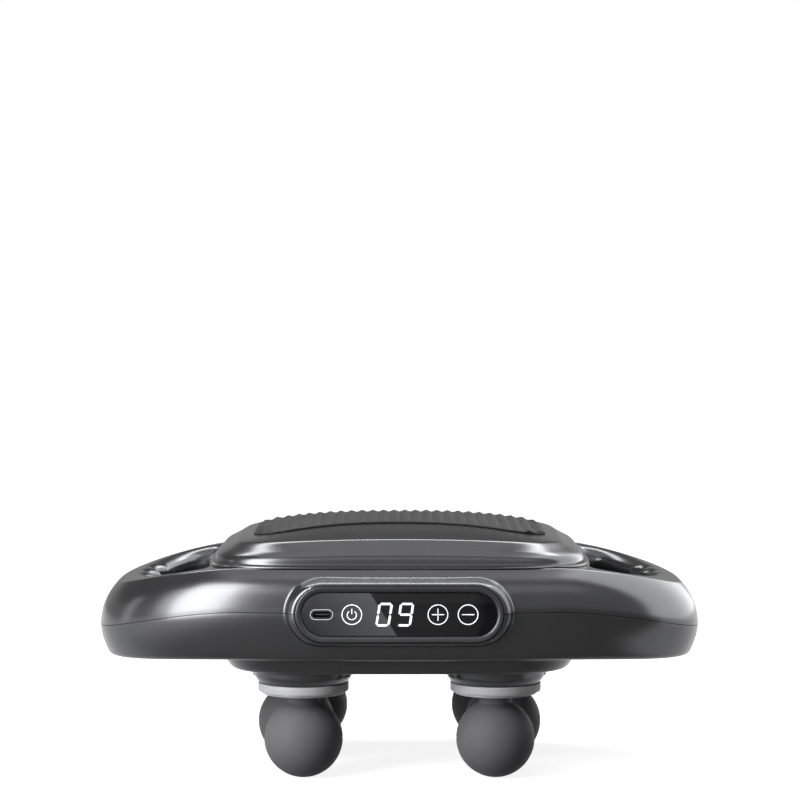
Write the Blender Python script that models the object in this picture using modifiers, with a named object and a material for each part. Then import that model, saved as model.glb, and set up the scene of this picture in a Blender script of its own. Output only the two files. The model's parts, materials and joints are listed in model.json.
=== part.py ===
"""Handheld percussion massager: six ball heads, two finger-grooved handles, front touch display.

The object stands on its six balls, +Z up, with the display facing -Y. Two drives, left and
right, each turn a crank whose roller works in a slotted yoke; the yoke's carriage pushes three
heads down together. Run with: blender --background --python part.py
"""

import math

import bmesh
import bpy
from mathutils import Matrix, Vector

# Overall form of the body, seen from above. It grows outwards from the heads: their sockets
# set the plateau, the plateau sets the dome, and rim and handles go round the dome.
RIM_MARGIN = 0.009
HANDLE_WIDTH = 0.0243
OUTLINE_POWER = 2.8
OUTLINE_POINTS = 56
WALL = 0.0028
FIT = 0.0003

# Heads, from the table up
BALL_RADIUS = 0.0185
NECK_GAP = 0.003
SEAL_HEIGHT = 0.0052
SEAL_REACH = 0.0028
SEAL_LIP_HEIGHT = 0.0012
SEAL_LIP_STEP = 0.0018
SOCKET_DROP = 0.0065
SOCKET_COLLAR = 0.0017
SOCKET_TAPER = 0.0017
SOCKET_FLARE = 0.0008
SOCKET_STEP_SHARE = 0.4
SOCKET_ROW_GAP = 0.0034
SOCKET_LENS_GAP = 0.008
HEAD_STAGGER = 0.0055
STEM_RADIUS = 0.0055
STEM_GRIP = 0.012
STROKE = 0.008

# Rim that carries the handles
PLATEAU_DROP = 0.0068
LOWER_RIM_HEIGHT = 0.0227
UPPER_RIM_HEIGHT = 0.0195
PLATEAU_MARGIN_X = 0.005
PLATEAU_MARGIN_Y = 0.0012
PLATEAU_POWER = 5.3
PLATEAU_POINTS = 40
ROOM_POINTS = 28
RIM_ROOM_POINTS = 40
PLATEAU_SLOPE_X = 0.0065
PLATEAU_SLOPE_Y = 0.003
PLATEAU_LEVEL_SHARES = ((1.0, 0.0), (0.28, 0.3), (0.0, 1.0))
LOWER_EDGE_INSET = 0.006
UPPER_EDGE_INSET = 0.0085
HANDLE_LEAD = 0.018
HANDLE_DROP_BELOW = 0.005
HANDLE_DROP_PARTING = 0.0133
HANDLE_DROP_ABOVE = 0.015
HANDLE_DROP_POWER = 1.7
LOWER_LEVEL_SHARES = ((1.0, 0.0), (0.35, 0.12), (0.05, 0.5), (0.0, 1.0))
UPPER_LEVEL_SHARES = ((0.0, 0.0), (0.08, 0.42), (0.38, 0.78), (1.0, 1.0))

# Openings behind the handles
GRIP_DOME_GAP = 0.0029
GRIP_WIDTH = 0.0278
GRIP_END_MARGIN = 0.035
GRIP_BOW = 0.010
GRIP_POWER = 2.5
GRIP_BACK_POINTS = 18
GRIP_ROUNDING = 0.009
GRIP_INNER_SHARE = 0.15
FINGER_PITCH = 0.0152
FINGER_DEPTH = 0.0017
FINGER_COUNT = 4
FINGER_RUN_SHARE = 1.125
FINGER_STEPS = 6
GRIP_ROOM_STEPS = 2
GRIP_ROOM_BACK_POINTS = 11
LOWER_GRIP_SHARES = ((1.0, 0.0, 0.0), (0.35, 0.55, 0.12), (0.0, 1.0, 0.45), (0.0, 1.0, 1.0))
UPPER_GRIP_SHARES = ((0.0, 1.0, 0.0), (0.0, 1.0, 0.55), (0.35, 0.55, 0.88), (1.0, 0.0, 1.0))

# Dome cover and its grip pad
DOME_OVERHANG_X = 0.004
DOME_OVERHANG_Y = 0.0005
DOME_POWER = 5.0
DOME_POINTS = 40
DOME_SIDE = 0.0027
DOME_CROWN = 0.0150
DOME_RISE_POWER = 3.0
DOME_FALL_POWER = 0.55
DOME_RING_SHARES = (1.0, 0.96, 0.87, 0.72, 0.50, 0.25)
DOME_ROOM_SHARES = (1.0, 0.94, 0.80, 0.50)
DOME_WALL = 0.0025
DOME_SEAT = 0.0068
PAD_HALF_X = 0.070
PAD_HALF_Y = 0.030
PAD_END_FLARE = 0.016
PAD_PITCH = 0.0085
PAD_STUD = 0.0011
PAD_THICKNESS = 0.0007

# Front display
WINDOW_LENGTH = 0.0894
WINDOW_HEIGHT = 0.0202
WINDOW_THICKNESS = 0.0024
WINDOW_RECESS = 0.0006
BEZEL_WIDTH = 0.0028
BEZEL_DEPTH = 0.003
BUMP_MARGIN = 0.0016
BUMP_EDGE = 0.0025
BUMP_PROUD = 0.0027
BUMP_EDGE_SHARE = 0.3
BOARD_THICKNESS = 0.0016
BOARD_SETBACK = 0.0008
DIGIT_BLOCK_LENGTH = 0.026
DIGIT_BLOCK_HEIGHT = 0.013
DIGIT_BLOCK_X = -0.0022
CABLE_SLOT_MARGIN = 0.0025
USB_INSET = 0.0092
USB_LENGTH = 0.00894
USB_HEIGHT = 0.00326
USB_WALL = 0.00035
USB_TONGUE_LENGTH = 0.0067
USB_TONGUE_HEIGHT = 0.0007
USB_TONGUE_SETBACK = 0.0012
USB_BASE = 0.0015
SLOT_STEPS = 13
PORT_STEPS = 7

# Infrared window in the underside
LENS_HALF_X = 0.0189
LENS_SCREW_GAP = 0.0098
LENS_POWER = 3.6
LENS_FLANGE = 0.002
LENS_FLANGE_HEIGHT = 0.0012
LENS_RECESS = 0.0003
LAMP_COLUMNS = 2
LAMP_ROWS = 3
LAMP_RADIUS = 0.0028
LAMP_HEIGHT = 0.0025
LAMP_PITCH = 0.014

# Guides and drive
BUSH_RADIUS = 0.009
BUSH_FLANGE_RADIUS = 0.012
BUSH_FLANGE_HEIGHT = 0.002
STOP_GAP = 0.0012
CARRIER_HEIGHT = 0.005
CARRIER_WIDTH = 0.014
CARRIER_PAD_RADIUS = 0.0095
CARRIER_SOCKET_DEPTH = 0.0035
ROLLER_RADIUS = 0.006
SLOT_PLAY = 0.001
YOKE_WALL = 0.004
YOKE_THICKNESS = 0.005
CRANK_PIN_RADIUS = 0.003
SHAFT_RADIUS = 0.003
WEB_RADIUS = 0.0105
WEB_THICKNESS = 0.004
WEB_GAP = 0.0007
MOTOR_RADIUS = 0.015
MOTOR_LENGTH = 0.036
MOTOR_EDGE = 0.0015
MOTOR_CLEARANCE = 0.002
MOTOR_SHAFT_GRIP = 0.010
FRAME_PLATE = 0.004
FRAME_LEG = 0.006
FRAME_SIDE_GAP = 0.0015
FRAME_TOP_MARGIN = 0.007
SHAFT_END = 0.001

# Battery and main board
CELL_RADIUS = 0.0092
CELL_LENGTH = 0.065
CELL_GAP = 0.0008
TRAY_FLOOR = 0.002
TRAY_WALL = 0.0015
TRAY_CHEEK_SHARE = 0.55
TRAY_END = 0.0054
MAIN_BOARD_MARGIN = 0.0015
CHIP_SIZE = 0.009
CHIP_HEIGHT = 0.0012

# Screws
SCREW_HEAD_RADIUS = 0.0023
SCREW_HEAD_HEIGHT = 0.0018
SCREW_SHANK_RADIUS = 0.0014
SCREW_BITE = 0.007
SCREW_DRIVE_RADIUS = 0.0011
SCREW_DRIVE_DEPTH = 0.0009
SCREW_POCKET = 0.0075
SCREW_BOSS_WALL = 0.0019
CORNER_SCREW_INSET_X = 0.0086
CORNER_SCREW_INSET_Y = 0.0138
SIDE_SCREW_INSET = 0.0067
HANDLE_SCREW_INSET = 0.0153
HANDLE_SCREW_Y = 0.0366

# Cutters run past what they cut by this much
OVERRUN = 0.004
MERGE = 0.00001

# Steps round each round shape, and the angle from which an edge looks sharp
BALL_SEGMENTS = 16
BALL_RINGS = 9
SOCKET_STEPS = 20
SEAL_STEPS = 20
BORE_STEPS = 16
BUSH_STEPS = 14
LENS_POINTS = 28
LAMP_BOARD_POINTS = 20
LAMP_STEPS = 6
ROD_STEPS = 12
PAD_STEPS = 14
WEB_STEPS = 18
ROLLER_STEPS = 16
MOTOR_STEPS = 18
CELL_STEPS = 16
POST_STEPS = 8
SCREW_STEPS = 6
SHARP_ANGLE = math.radians(35)

# Sizes seen from above that follow from the heads outwards
SEAL_RADIUS = BALL_RADIUS + SEAL_REACH
SOCKET_RADIUS = SEAL_RADIUS + SOCKET_COLLAR
SOCKET_FOOT = SOCKET_RADIUS + SOCKET_FLARE
HEAD_ROW_PITCH = 2 * SOCKET_FOOT + SOCKET_ROW_GAP
MIDDLE_HEAD_X = LENS_HALF_X + SOCKET_LENS_GAP + SOCKET_FOOT
OUTER_HEAD_X = MIDDLE_HEAD_X - HEAD_STAGGER
PLATEAU_HALF_X = MIDDLE_HEAD_X + SOCKET_FOOT + PLATEAU_MARGIN_X + PLATEAU_SLOPE_X
PLATEAU_HALF_Y = HEAD_ROW_PITCH + SOCKET_FOOT + PLATEAU_MARGIN_Y + PLATEAU_SLOPE_Y
DOME_HALF_X = PLATEAU_HALF_X + DOME_OVERHANG_X
DOME_HALF_Y = PLATEAU_HALF_Y + DOME_OVERHANG_Y
GRIP_HALF_WIDTH = GRIP_WIDTH / 2
GRIP_X = DOME_HALF_X + GRIP_DOME_GAP + GRIP_HALF_WIDTH
BODY_WIDTH = 2 * (GRIP_X + GRIP_HALF_WIDTH + HANDLE_WIDTH)
BODY_DEPTH = 2 * (DOME_HALF_Y + RIM_MARGIN)
GRIP_HALF_LENGTH = BODY_DEPTH / 2 - GRIP_END_MARGIN
HANDLE_START_X = DOME_HALF_X - HANDLE_LEAD
CORNER_SCREW_X = DOME_HALF_X - CORNER_SCREW_INSET_X
CORNER_SCREW_Y = DOME_HALF_Y - CORNER_SCREW_INSET_Y
SIDE_SCREW_X = DOME_HALF_X - SIDE_SCREW_INSET
HANDLE_SCREW_X = BODY_WIDTH / 2 - HANDLE_SCREW_INSET
CENTRE_SCREW_Y = CELL_LENGTH / 2 + FIT + TRAY_END / 2
LENS_HALF_Y = CENTRE_SCREW_Y - LENS_SCREW_GAP

# Heights that follow from the stack of heads, seals, sockets and rim
SEAL_BOTTOM = 2 * BALL_RADIUS + NECK_GAP
SEAL_TOP = SEAL_BOTTOM + SEAL_HEIGHT
SOCKET_BOTTOM = SEAL_TOP + FIT
PLATEAU_BOTTOM = SOCKET_BOTTOM + SOCKET_DROP
FLOOR_TOP = PLATEAU_BOTTOM + WALL
RIM_BOTTOM = PLATEAU_BOTTOM + PLATEAU_DROP
PARTING = RIM_BOTTOM + LOWER_RIM_HEIGHT
RIM_TOP = PARTING + UPPER_RIM_HEIGHT
DOME_BASE = RIM_TOP + FIT
SHOULDER = DOME_BASE + DOME_SIDE

BUSH_TOP = FLOOR_TOP + FIT + BUSH_FLANGE_HEIGHT
CARRIER_BOTTOM = BUSH_TOP + STROKE + STOP_GAP
CARRIER_TOP = CARRIER_BOTTOM + CARRIER_HEIGHT
STEM_TOP = CARRIER_BOTTOM + CARRIER_SOCKET_DEPTH - FIT
THROW = STROKE / 2
CRANK_Z = CARRIER_TOP + MOTOR_CLEARANCE + MOTOR_RADIUS
SLOT_Z = CRANK_Z + THROW
SLOT_HALF_HEIGHT = ROLLER_RADIUS + SLOT_PLAY
SLOT_HALF_LENGTH = THROW + ROLLER_RADIUS + SLOT_PLAY
YOKE_HALF_WIDTH = SLOT_HALF_LENGTH + YOKE_WALL
WEB_START = YOKE_THICKNESS / 2 + WEB_GAP
WEB_END = WEB_START + WEB_THICKNESS
PLATE_START = WEB_END + FRAME_SIDE_GAP
PLATE_END = PLATE_START + FRAME_PLATE
FRAME_INNER = BUSH_FLANGE_RADIUS + FRAME_SIDE_GAP
FRAME_HALF_WIDTH = FRAME_INNER + FRAME_LEG

FINGER_RUN = FINGER_COUNT * FINGER_PITCH * FINGER_RUN_SHARE / 2
FINGER_FADE = FINGER_PITCH / 2

USB_X = USB_INSET - WINDOW_LENGTH / 2
BEZEL_LENGTH = WINDOW_LENGTH + 2 * BEZEL_WIDTH
BEZEL_HEIGHT = WINDOW_HEIGHT + 2 * BEZEL_WIDTH
BUMP_LENGTH = BEZEL_LENGTH + 2 * (BUMP_MARGIN + BUMP_EDGE)
BUMP_HEIGHT = BEZEL_HEIGHT + 2 * (BUMP_MARGIN + BUMP_EDGE)
FRONT_Y = -(BODY_DEPTH / 2 + BUMP_PROUD)
# The body is set back by half the bump, so that the whole object is centred on the origin
CENTRE_SHIFT = BUMP_PROUD / 2

TRAY_BOTTOM = CARRIER_BOTTOM
TRAY_HALF_X = 2 * CELL_RADIUS + CELL_GAP / 2 + FIT + TRAY_WALL
CELL_Z = TRAY_BOTTOM + TRAY_FLOOR + FIT + CELL_RADIUS
TRAY_END_TOP = CELL_Z + CELL_RADIUS + FIT
TRAY_HALF_Y = CELL_LENGTH / 2 + FIT + TRAY_END

HEADS = [
    ("front", -HEAD_ROW_PITCH, OUTER_HEAD_X),
    ("middle", 0.0, MIDDLE_HEAD_X),
    ("rear", HEAD_ROW_PITCH, OUTER_HEAD_X),
]
SIDES = [("left", -1), ("right", 1)]


def clear_scene():
    for found in list(bpy.data.objects):
        bpy.data.objects.remove(found, do_unlink=True)


def make_collection(name):
    made = bpy.data.collections.new(name)
    bpy.context.scene.collection.children.link(made)
    return made


def make_material(name, colour, roughness, metallic=0.0):
    material = bpy.data.materials.new(name)
    material.use_nodes = True
    shader = material.node_tree.nodes["Principled BSDF"]
    shader.inputs["Base Color"].default_value = (*colour, 1.0)
    shader.inputs["Roughness"].default_value = roughness
    shader.inputs["Metallic"].default_value = metallic
    return material


clear_scene()
PARTS = make_collection("percussion_massager")
CUTTERS = make_collection("cutters")
GRAPHITE = make_material("graphite_shell", (0.095, 0.096, 0.100), 0.30, 0.55)
PAD_RUBBER = make_material("pad_rubber", (0.045, 0.046, 0.048), 0.55)
BALL_RUBBER = make_material("ball_rubber", (0.115, 0.113, 0.122), 0.50)
SEAL_PLASTIC = make_material("seal_plastic", (0.62, 0.62, 0.63), 0.40)
BLACK_GLASS = make_material("black_glass", (0.006, 0.006, 0.007), 0.06)
LENS_RED = make_material("infrared_lens", (0.030, 0.008, 0.010), 0.08)
STEEL = make_material("bright_steel", (0.55, 0.56, 0.58), 0.28, 1.0)
SCREW_BLACK = make_material("black_screw", (0.02, 0.02, 0.022), 0.35, 0.8)
BUSH_PLASTIC = make_material("bush_plastic", (0.75, 0.74, 0.70), 0.45)
FRAME_NYLON = make_material("frame_nylon", (0.10, 0.10, 0.105), 0.55)
BOARD_GREEN = make_material("board_green", (0.02, 0.10, 0.05), 0.40)
CELL_WRAP = make_material("cell_wrap", (0.05, 0.16, 0.42), 0.35)
CENTRE = bpy.data.objects.new("massager_centre", None)
CENTRE.location = (0.0, CENTRE_SHIFT, 0.0)
PARTS.objects.link(CENTRE)


def signed_power(value, power):
    return math.copysign(abs(value) ** power, value)


def superellipse(half_x, half_y, power, count):
    """Points counter-clockwise round a rounded rectangle whose corners tighten with power."""
    points = []
    for i in range(count):
        angle = 2 * math.pi * i / count
        x = half_x * signed_power(math.cos(angle), 2 / power)
        y = half_y * signed_power(math.sin(angle), 2 / power)
        points.append((x, y))
    return points


def stadium(length, height, steps):
    """Points round a slot shape in its own plane: two half circles joined by straight sides.
    An odd number of steps leaves each half circle without a point at its tip, so the parting
    line meets an edge's middle there."""
    radius = height / 2
    reach = length / 2 - radius
    points = []
    for side in (1, -1):
        for i in range(steps + 1):
            angle = math.pi * (i / steps - 0.5)
            points.append((side * (reach + radius * math.cos(angle)), side * radius * math.sin(angle)))
    return points


def plateau_outline(slope_share, wall, count):
    half_x = PLATEAU_HALF_X - PLATEAU_SLOPE_X * slope_share - wall
    half_y = PLATEAU_HALF_Y - PLATEAU_SLOPE_Y * slope_share - wall
    return superellipse(half_x, half_y, PLATEAU_POWER, count)


def body_outline(inset, count):
    return superellipse(BODY_WIDTH / 2 - inset, BODY_DEPTH / 2 - inset, OUTLINE_POWER, count)


def grip_outline(side, rounding, finger_share, wall=0.0):
    """The opening behind one handle, from one end of the finger grooves round to the other.
    Finger_share fades the grooves. Rounding widens the handle's side more than the dome's
    side, and wall widens every side alike, to leave a wall round the opening."""
    half_length = GRIP_HALF_LENGTH + rounding + wall
    shape = []
    count = FINGER_COUNT * (GRIP_ROOM_STEPS if wall else FINGER_STEPS)
    back = GRIP_ROOM_BACK_POINTS if wall else GRIP_BACK_POINTS
    for i in range(count + 1):
        y = FINGER_RUN * (2 * i / count - 1)
        along = y / half_length
        shape.append((along, (1 - abs(along) ** GRIP_POWER) ** (1 / GRIP_POWER)))
    start = math.asin((FINGER_RUN / half_length) ** (GRIP_POWER / 2))
    for i in range(1, back):
        angle = start + (2 * math.pi - 2 * start) * i / back
        along = signed_power(math.sin(angle), 2 / GRIP_POWER)
        shape.append((along, signed_power(math.cos(angle), 2 / GRIP_POWER)))
    points = []
    for along, across in shape:
        weight = (1 + GRIP_INNER_SHARE + across * (1 - GRIP_INNER_SHARE)) / 2
        x = GRIP_X - GRIP_BOW * along * along + (GRIP_HALF_WIDTH + rounding * weight + wall) * across
        y = half_length * along
        if across > 0 and abs(y) < FINGER_RUN:
            fade = min(1.0, (FINGER_RUN - abs(y)) / FINGER_FADE)
            x -= finger_share * FINGER_DEPTH * fade * math.cos(2 * math.pi * y / FINGER_PITCH)
        points.append((side * x, side * y))
    return points


def add_ring(bm, points, z):
    """One closed loop of edges at a height."""
    verts = [bm.verts.new((x, y, z)) for x, y in points]
    return [bm.edges.new((verts[i], verts[(i + 1) % len(verts)])) for i in range(len(verts))]


def add_wall(bm, sections):
    """Bridges loops of like count into one wall. Returns the first and last loops' edges."""
    rings = [add_ring(bm, points, z) for points, z in sections]
    for lower, upper in zip(rings, rings[1:]):
        bmesh.ops.bridge_loops(bm, edges=lower + upper)
    return rings[0], rings[-1]


def mesh_object(name, bm, collection, material=None):
    bmesh.ops.recalc_face_normals(bm, faces=bm.faces)
    mesh = bpy.data.meshes.new(name)
    bm.to_mesh(mesh)
    bm.free()
    made = bpy.data.objects.new(name, mesh)
    collection.objects.link(made)
    if material:
        mesh.materials.append(material)
    if collection is CUTTERS:
        made.hide_render = True
        made.display_type = "WIRE"
    made.parent = CENTRE
    return made


def loft(name, walls, collection, material=None):
    """A closed solid between flat ends. Each wall is a list of (points, z) sections; the
    first is the outside and any others run round openings through the solid."""
    bm = bmesh.new()
    starts, ends = [], []
    for sections in walls:
        first, last = add_wall(bm, sections)
        starts += first
        ends += last
    for edges in (starts, ends):
        close_end(bm, edges, len(walls) > 1)
    return mesh_object(name, bm, collection, material)


def close_end(bm, edges, has_openings):
    if has_openings:
        bmesh.ops.triangle_fill(bm, use_beauty=True, use_dissolve=False, edges=edges)
    else:
        bmesh.ops.contextual_create(bm, geom=edges)


def prism(name, points, bottom, top, collection, material=None):
    return loft(name, [[(points, bottom), (points, top)]], collection, material)


def box(name, low, high, collection, material=None):
    bm = bmesh.new()
    centre = (Vector(low) + Vector(high)) / 2
    size = Vector(high) - Vector(low)
    bmesh.ops.create_cube(bm, size=1.0, matrix=Matrix.Translation(centre) @ Matrix.Diagonal((*size, 1.0)))
    return mesh_object(name, bm, collection, material)


def turned(name, profile, steps, collection, material=None, at=(0.0, 0.0, 0.0), closed=False):
    """A turned piece about a vertical axis through at. The profile runs down its outer side."""
    mesh = bpy.data.meshes.new(name)
    count = len(profile)
    edges = [(i, i + 1) for i in range(count - 1)] + ([(count - 1, 0)] if closed else [])
    mesh.from_pydata([(r, 0.0, z) for r, z in profile], edges, [])
    made = bpy.data.objects.new(name, mesh)
    collection.objects.link(made)
    if material:
        mesh.materials.append(material)
    screw = made.modifiers.new("Turn", "SCREW")
    screw.steps = steps
    screw.render_steps = steps
    screw.use_merge_vertices = True
    screw.merge_threshold = MERGE
    made.location = at
    made.parent = CENTRE
    if collection is CUTTERS:
        made.hide_render = True
        made.display_type = "WIRE"
    return made


def circle(radius, steps):
    points = []
    for i in range(steps):
        angle = 2 * math.pi * (i + 0.5) / steps
        points.append((radius * math.cos(angle), radius * math.sin(angle)))
    return points


def rod(name, radius, bottom, top, steps, collection, material=None, at=(0.0, 0.0)):
    made = prism(name, circle(radius, steps), bottom, top, collection, material)
    made.location = (*at, 0.0)
    return made


def combine(target, operation, *others):
    """Cuts the others from the target, or joins them to it, in the order given."""
    for other in others:
        modifier = target.modifiers.new(other.name, "BOOLEAN")
        modifier.operation = operation
        modifier.solver = "EXACT"
        modifier.object = other
    return target


def cut(target, *others):
    return combine(target, "DIFFERENCE", *others)


def join(target, *others):
    return combine(target, "UNION", *others)


def freeze(target):
    """Replaces an object's mesh by what its modifiers make of it, with doubled points merged."""
    bpy.context.view_layer.update()
    graph = bpy.context.evaluated_depsgraph_get()
    mesh = bpy.data.meshes.new_from_object(target.evaluated_get(graph))
    target.modifiers.clear()
    bm = bmesh.new()
    bm.from_mesh(mesh)
    bmesh.ops.remove_doubles(bm, verts=bm.verts, dist=MERGE)
    bmesh.ops.dissolve_degenerate(bm, dist=MERGE, edges=bm.edges)
    bm.to_mesh(mesh)
    bm.free()
    target.data = mesh
    return target


def handle_drop(x, z):
    """How far a point of the straight body moves down where the body bends to its handles."""
    reach = (abs(x) - HANDLE_START_X) / (BODY_WIDTH / 2 - HANDLE_START_X)
    if reach <= 0:
        return 0.0
    if z < PARTING:
        share = max(0.0, (z - RIM_BOTTOM) / LOWER_RIM_HEIGHT)
        drop = HANDLE_DROP_BELOW + share * (HANDLE_DROP_PARTING - HANDLE_DROP_BELOW)
    else:
        share = (z - PARTING) / UPPER_RIM_HEIGHT
        drop = HANDLE_DROP_PARTING + share * (HANDLE_DROP_ABOVE - HANDLE_DROP_PARTING)
    return drop * reach**HANDLE_DROP_POWER


def bend_handles(target):
    """Lowers every point of the straight body to where it lies on the finished one."""
    freeze(target)
    bm = bmesh.new()
    bm.from_mesh(target.data)
    bmesh.ops.triangulate(bm, faces=bm.faces)
    for vert in bm.verts:
        vert.co.z -= handle_drop(vert.co.x, vert.co.z)
    bm.to_mesh(target.data)
    bm.free()
    return target


def smooth(target):
    target.data.shade_smooth()
    target.data.set_sharp_from_angle(angle=SHARP_ANGLE)
    return target


def rim_solid(name, levels, grip_levels, wall, collection, material=None):
    """The rim between two heights, with the two openings through it.
    Levels are (inset, z) outside and (rounding, finger share, z) round the openings."""
    count = RIM_ROOM_POINTS if wall else OUTLINE_POINTS
    outside = [(body_outline(inset + wall, count), z) for inset, z in levels]
    openings = [
        [(grip_outline(side, rounding, share, wall), z) for rounding, share, z in grip_levels]
        for _, side in SIDES
    ]
    return loft(name, [outside, *openings], collection, material)


def front_y(x, inset):
    """Where the body's front wall stands at x, on the outline moved in by inset."""
    half_x = BODY_WIDTH / 2 - inset
    half_y = BODY_DEPTH / 2 - inset
    return -half_y * (1 - (abs(x) / half_x) ** OUTLINE_POWER) ** (1 / OUTLINE_POWER)


def front_slab(name, length, height, back, front, collection, material=None, edge=0.0, steps=SLOT_STEPS):
    """A slot-shaped slab that lies against the front wall, from back to front along Y."""
    bm = bmesh.new()
    sections = [(stadium(length, height, steps), back), (stadium(length, height, steps), front + edge)]
    if edge:
        sections.append((stadium(length - edge, height - edge, steps), front + edge * BUMP_EDGE_SHARE))
        sections.append((stadium(length - 2 * edge, height - 2 * edge, steps), front))
    first, last = add_wall(bm, sections)
    for edges in (first, last):
        bmesh.ops.triangle_fill(bm, use_beauty=True, use_dissolve=False, edges=edges)
    # The slab is built standing on its back; this lays it down, facing -Y at the parting height
    lay = Matrix(((1, 0, 0, 0), (0, 0, 1, 0), (0, 1, 0, PARTING), (0, 0, 0, 1)))
    bmesh.ops.transform(bm, matrix=lay, verts=bm.verts)
    return mesh_object(name, bm, collection, material)


def screw_places():
    """(name, x, y) of the twelve screws seen from below."""
    places = []
    for side_name, side in SIDES:
        for row, y in (("front", -CORNER_SCREW_Y), ("rear", CORNER_SCREW_Y)):
            places.append((f"screw_corner_{row}_{side_name}", side * CORNER_SCREW_X, y))
        places.append((f"screw_side_{side_name}", side * SIDE_SCREW_X, 0.0))
        for row, y in (("front", -HANDLE_SCREW_Y), ("rear", HANDLE_SCREW_Y)):
            places.append((f"screw_handle_{row}_{side_name}", side * HANDLE_SCREW_X, y))
    places.append(("screw_centre_front", 0.0, -CENTRE_SCREW_Y))
    places.append(("screw_centre_rear", 0.0, CENTRE_SCREW_Y))
    return places


def screw_seat_z(x):
    """Height of the shoulder that a screw head bears on, inside its pocket."""
    if x == 0:
        return PLATEAU_BOTTOM + SCREW_POCKET
    flat = RIM_BOTTOM + SCREW_POCKET
    return flat - handle_drop(x, flat)


def post_top_z(x):
    """Top of the lower housing's screw post: under the tray, or under the parting line."""
    if x == 0:
        return TRAY_BOTTOM - FIT
    return PARTING - FIT - handle_drop(abs(x) + SCREW_HEAD_RADIUS, PARTING)


def lower_z(share):
    return RIM_BOTTOM + LOWER_RIM_HEIGHT * share


def upper_z(share):
    return PARTING + FIT + (UPPER_RIM_HEIGHT - FIT) * share


LOWER_LEVELS = [(LOWER_EDGE_INSET * inset, lower_z(height)) for inset, height in LOWER_LEVEL_SHARES]
UPPER_LEVELS = [(UPPER_EDGE_INSET * inset, upper_z(height)) for inset, height in UPPER_LEVEL_SHARES]
LOWER_GRIP_LEVELS = [
    (GRIP_ROUNDING * out, fingers, lower_z(height)) for out, fingers, height in LOWER_GRIP_SHARES
]
UPPER_GRIP_LEVELS = [
    (GRIP_ROUNDING * out, fingers, upper_z(height)) for out, fingers, height in UPPER_GRIP_SHARES
]


def inner_levels(levels, end_level, end_z, open_z):
    """Levels for the room inside a rim. It starts at the flat end's inner face, takes the
    middle levels as they are, and runs out through the parting line."""
    first = (*end_level[:-1], end_z)
    middle = [level for level in levels[1:-1] if abs(level[-1] - end_z) > WALL]
    last = (*levels[-1][:-1], open_z)
    return [first, *middle, last]


LOWER_CAVITY = inner_levels(LOWER_LEVELS, LOWER_LEVELS[1], RIM_BOTTOM + WALL, PARTING + OVERRUN)
UPPER_CAVITY = inner_levels(UPPER_LEVELS[::-1], UPPER_LEVELS[2], RIM_TOP - WALL, PARTING - OVERRUN)
LOWER_CAVITY_GRIP = inner_levels(
    LOWER_GRIP_LEVELS, LOWER_GRIP_LEVELS[1], RIM_BOTTOM + WALL, PARTING + OVERRUN
)
UPPER_CAVITY_GRIP = inner_levels(
    UPPER_GRIP_LEVELS[::-1], UPPER_GRIP_LEVELS[2], RIM_TOP - WALL, PARTING - OVERRUN
)


def sunk_front(name):
    """The raised surround of the display, as one solid that both housings take a share of."""
    return front_slab(
        name, BUMP_LENGTH, BUMP_HEIGHT, front_y(BUMP_LENGTH / 2, WALL), FRONT_Y, CUTTERS, edge=BUMP_EDGE
    )


def half_bump(name, below):
    """The share of the display surround on one side of the parting line."""
    bump = sunk_front(name)
    side = -1 if below else 1
    reach = BUMP_LENGTH
    low = (-reach, -BODY_DEPTH, PARTING - (reach if side > 0 else 0))
    high = (reach, 0.0, PARTING + (0 if side > 0 else reach))
    return freeze(cut(bump, box(name + "_trim", low, high, CUTTERS)))


def display_cutters(name):
    """The pocket that takes the bezel and window, and the slot behind it for the digits."""
    pocket_back = FRONT_Y + BEZEL_DEPTH + FIT
    pocket = front_slab(
        name + "_pocket",
        BEZEL_LENGTH + 2 * FIT,
        BEZEL_HEIGHT + 2 * FIT,
        pocket_back,
        FRONT_Y - OVERRUN,
        CUTTERS,
    )
    slot = front_slab(
        name + "_slot",
        WINDOW_LENGTH - 2 * CABLE_SLOT_MARGIN,
        WINDOW_HEIGHT - 2 * CABLE_SLOT_MARGIN,
        front_y(0, WALL) + OVERRUN,
        pocket_back - OVERRUN / 2,
        CUTTERS,
    )
    return pocket, slot


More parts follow.
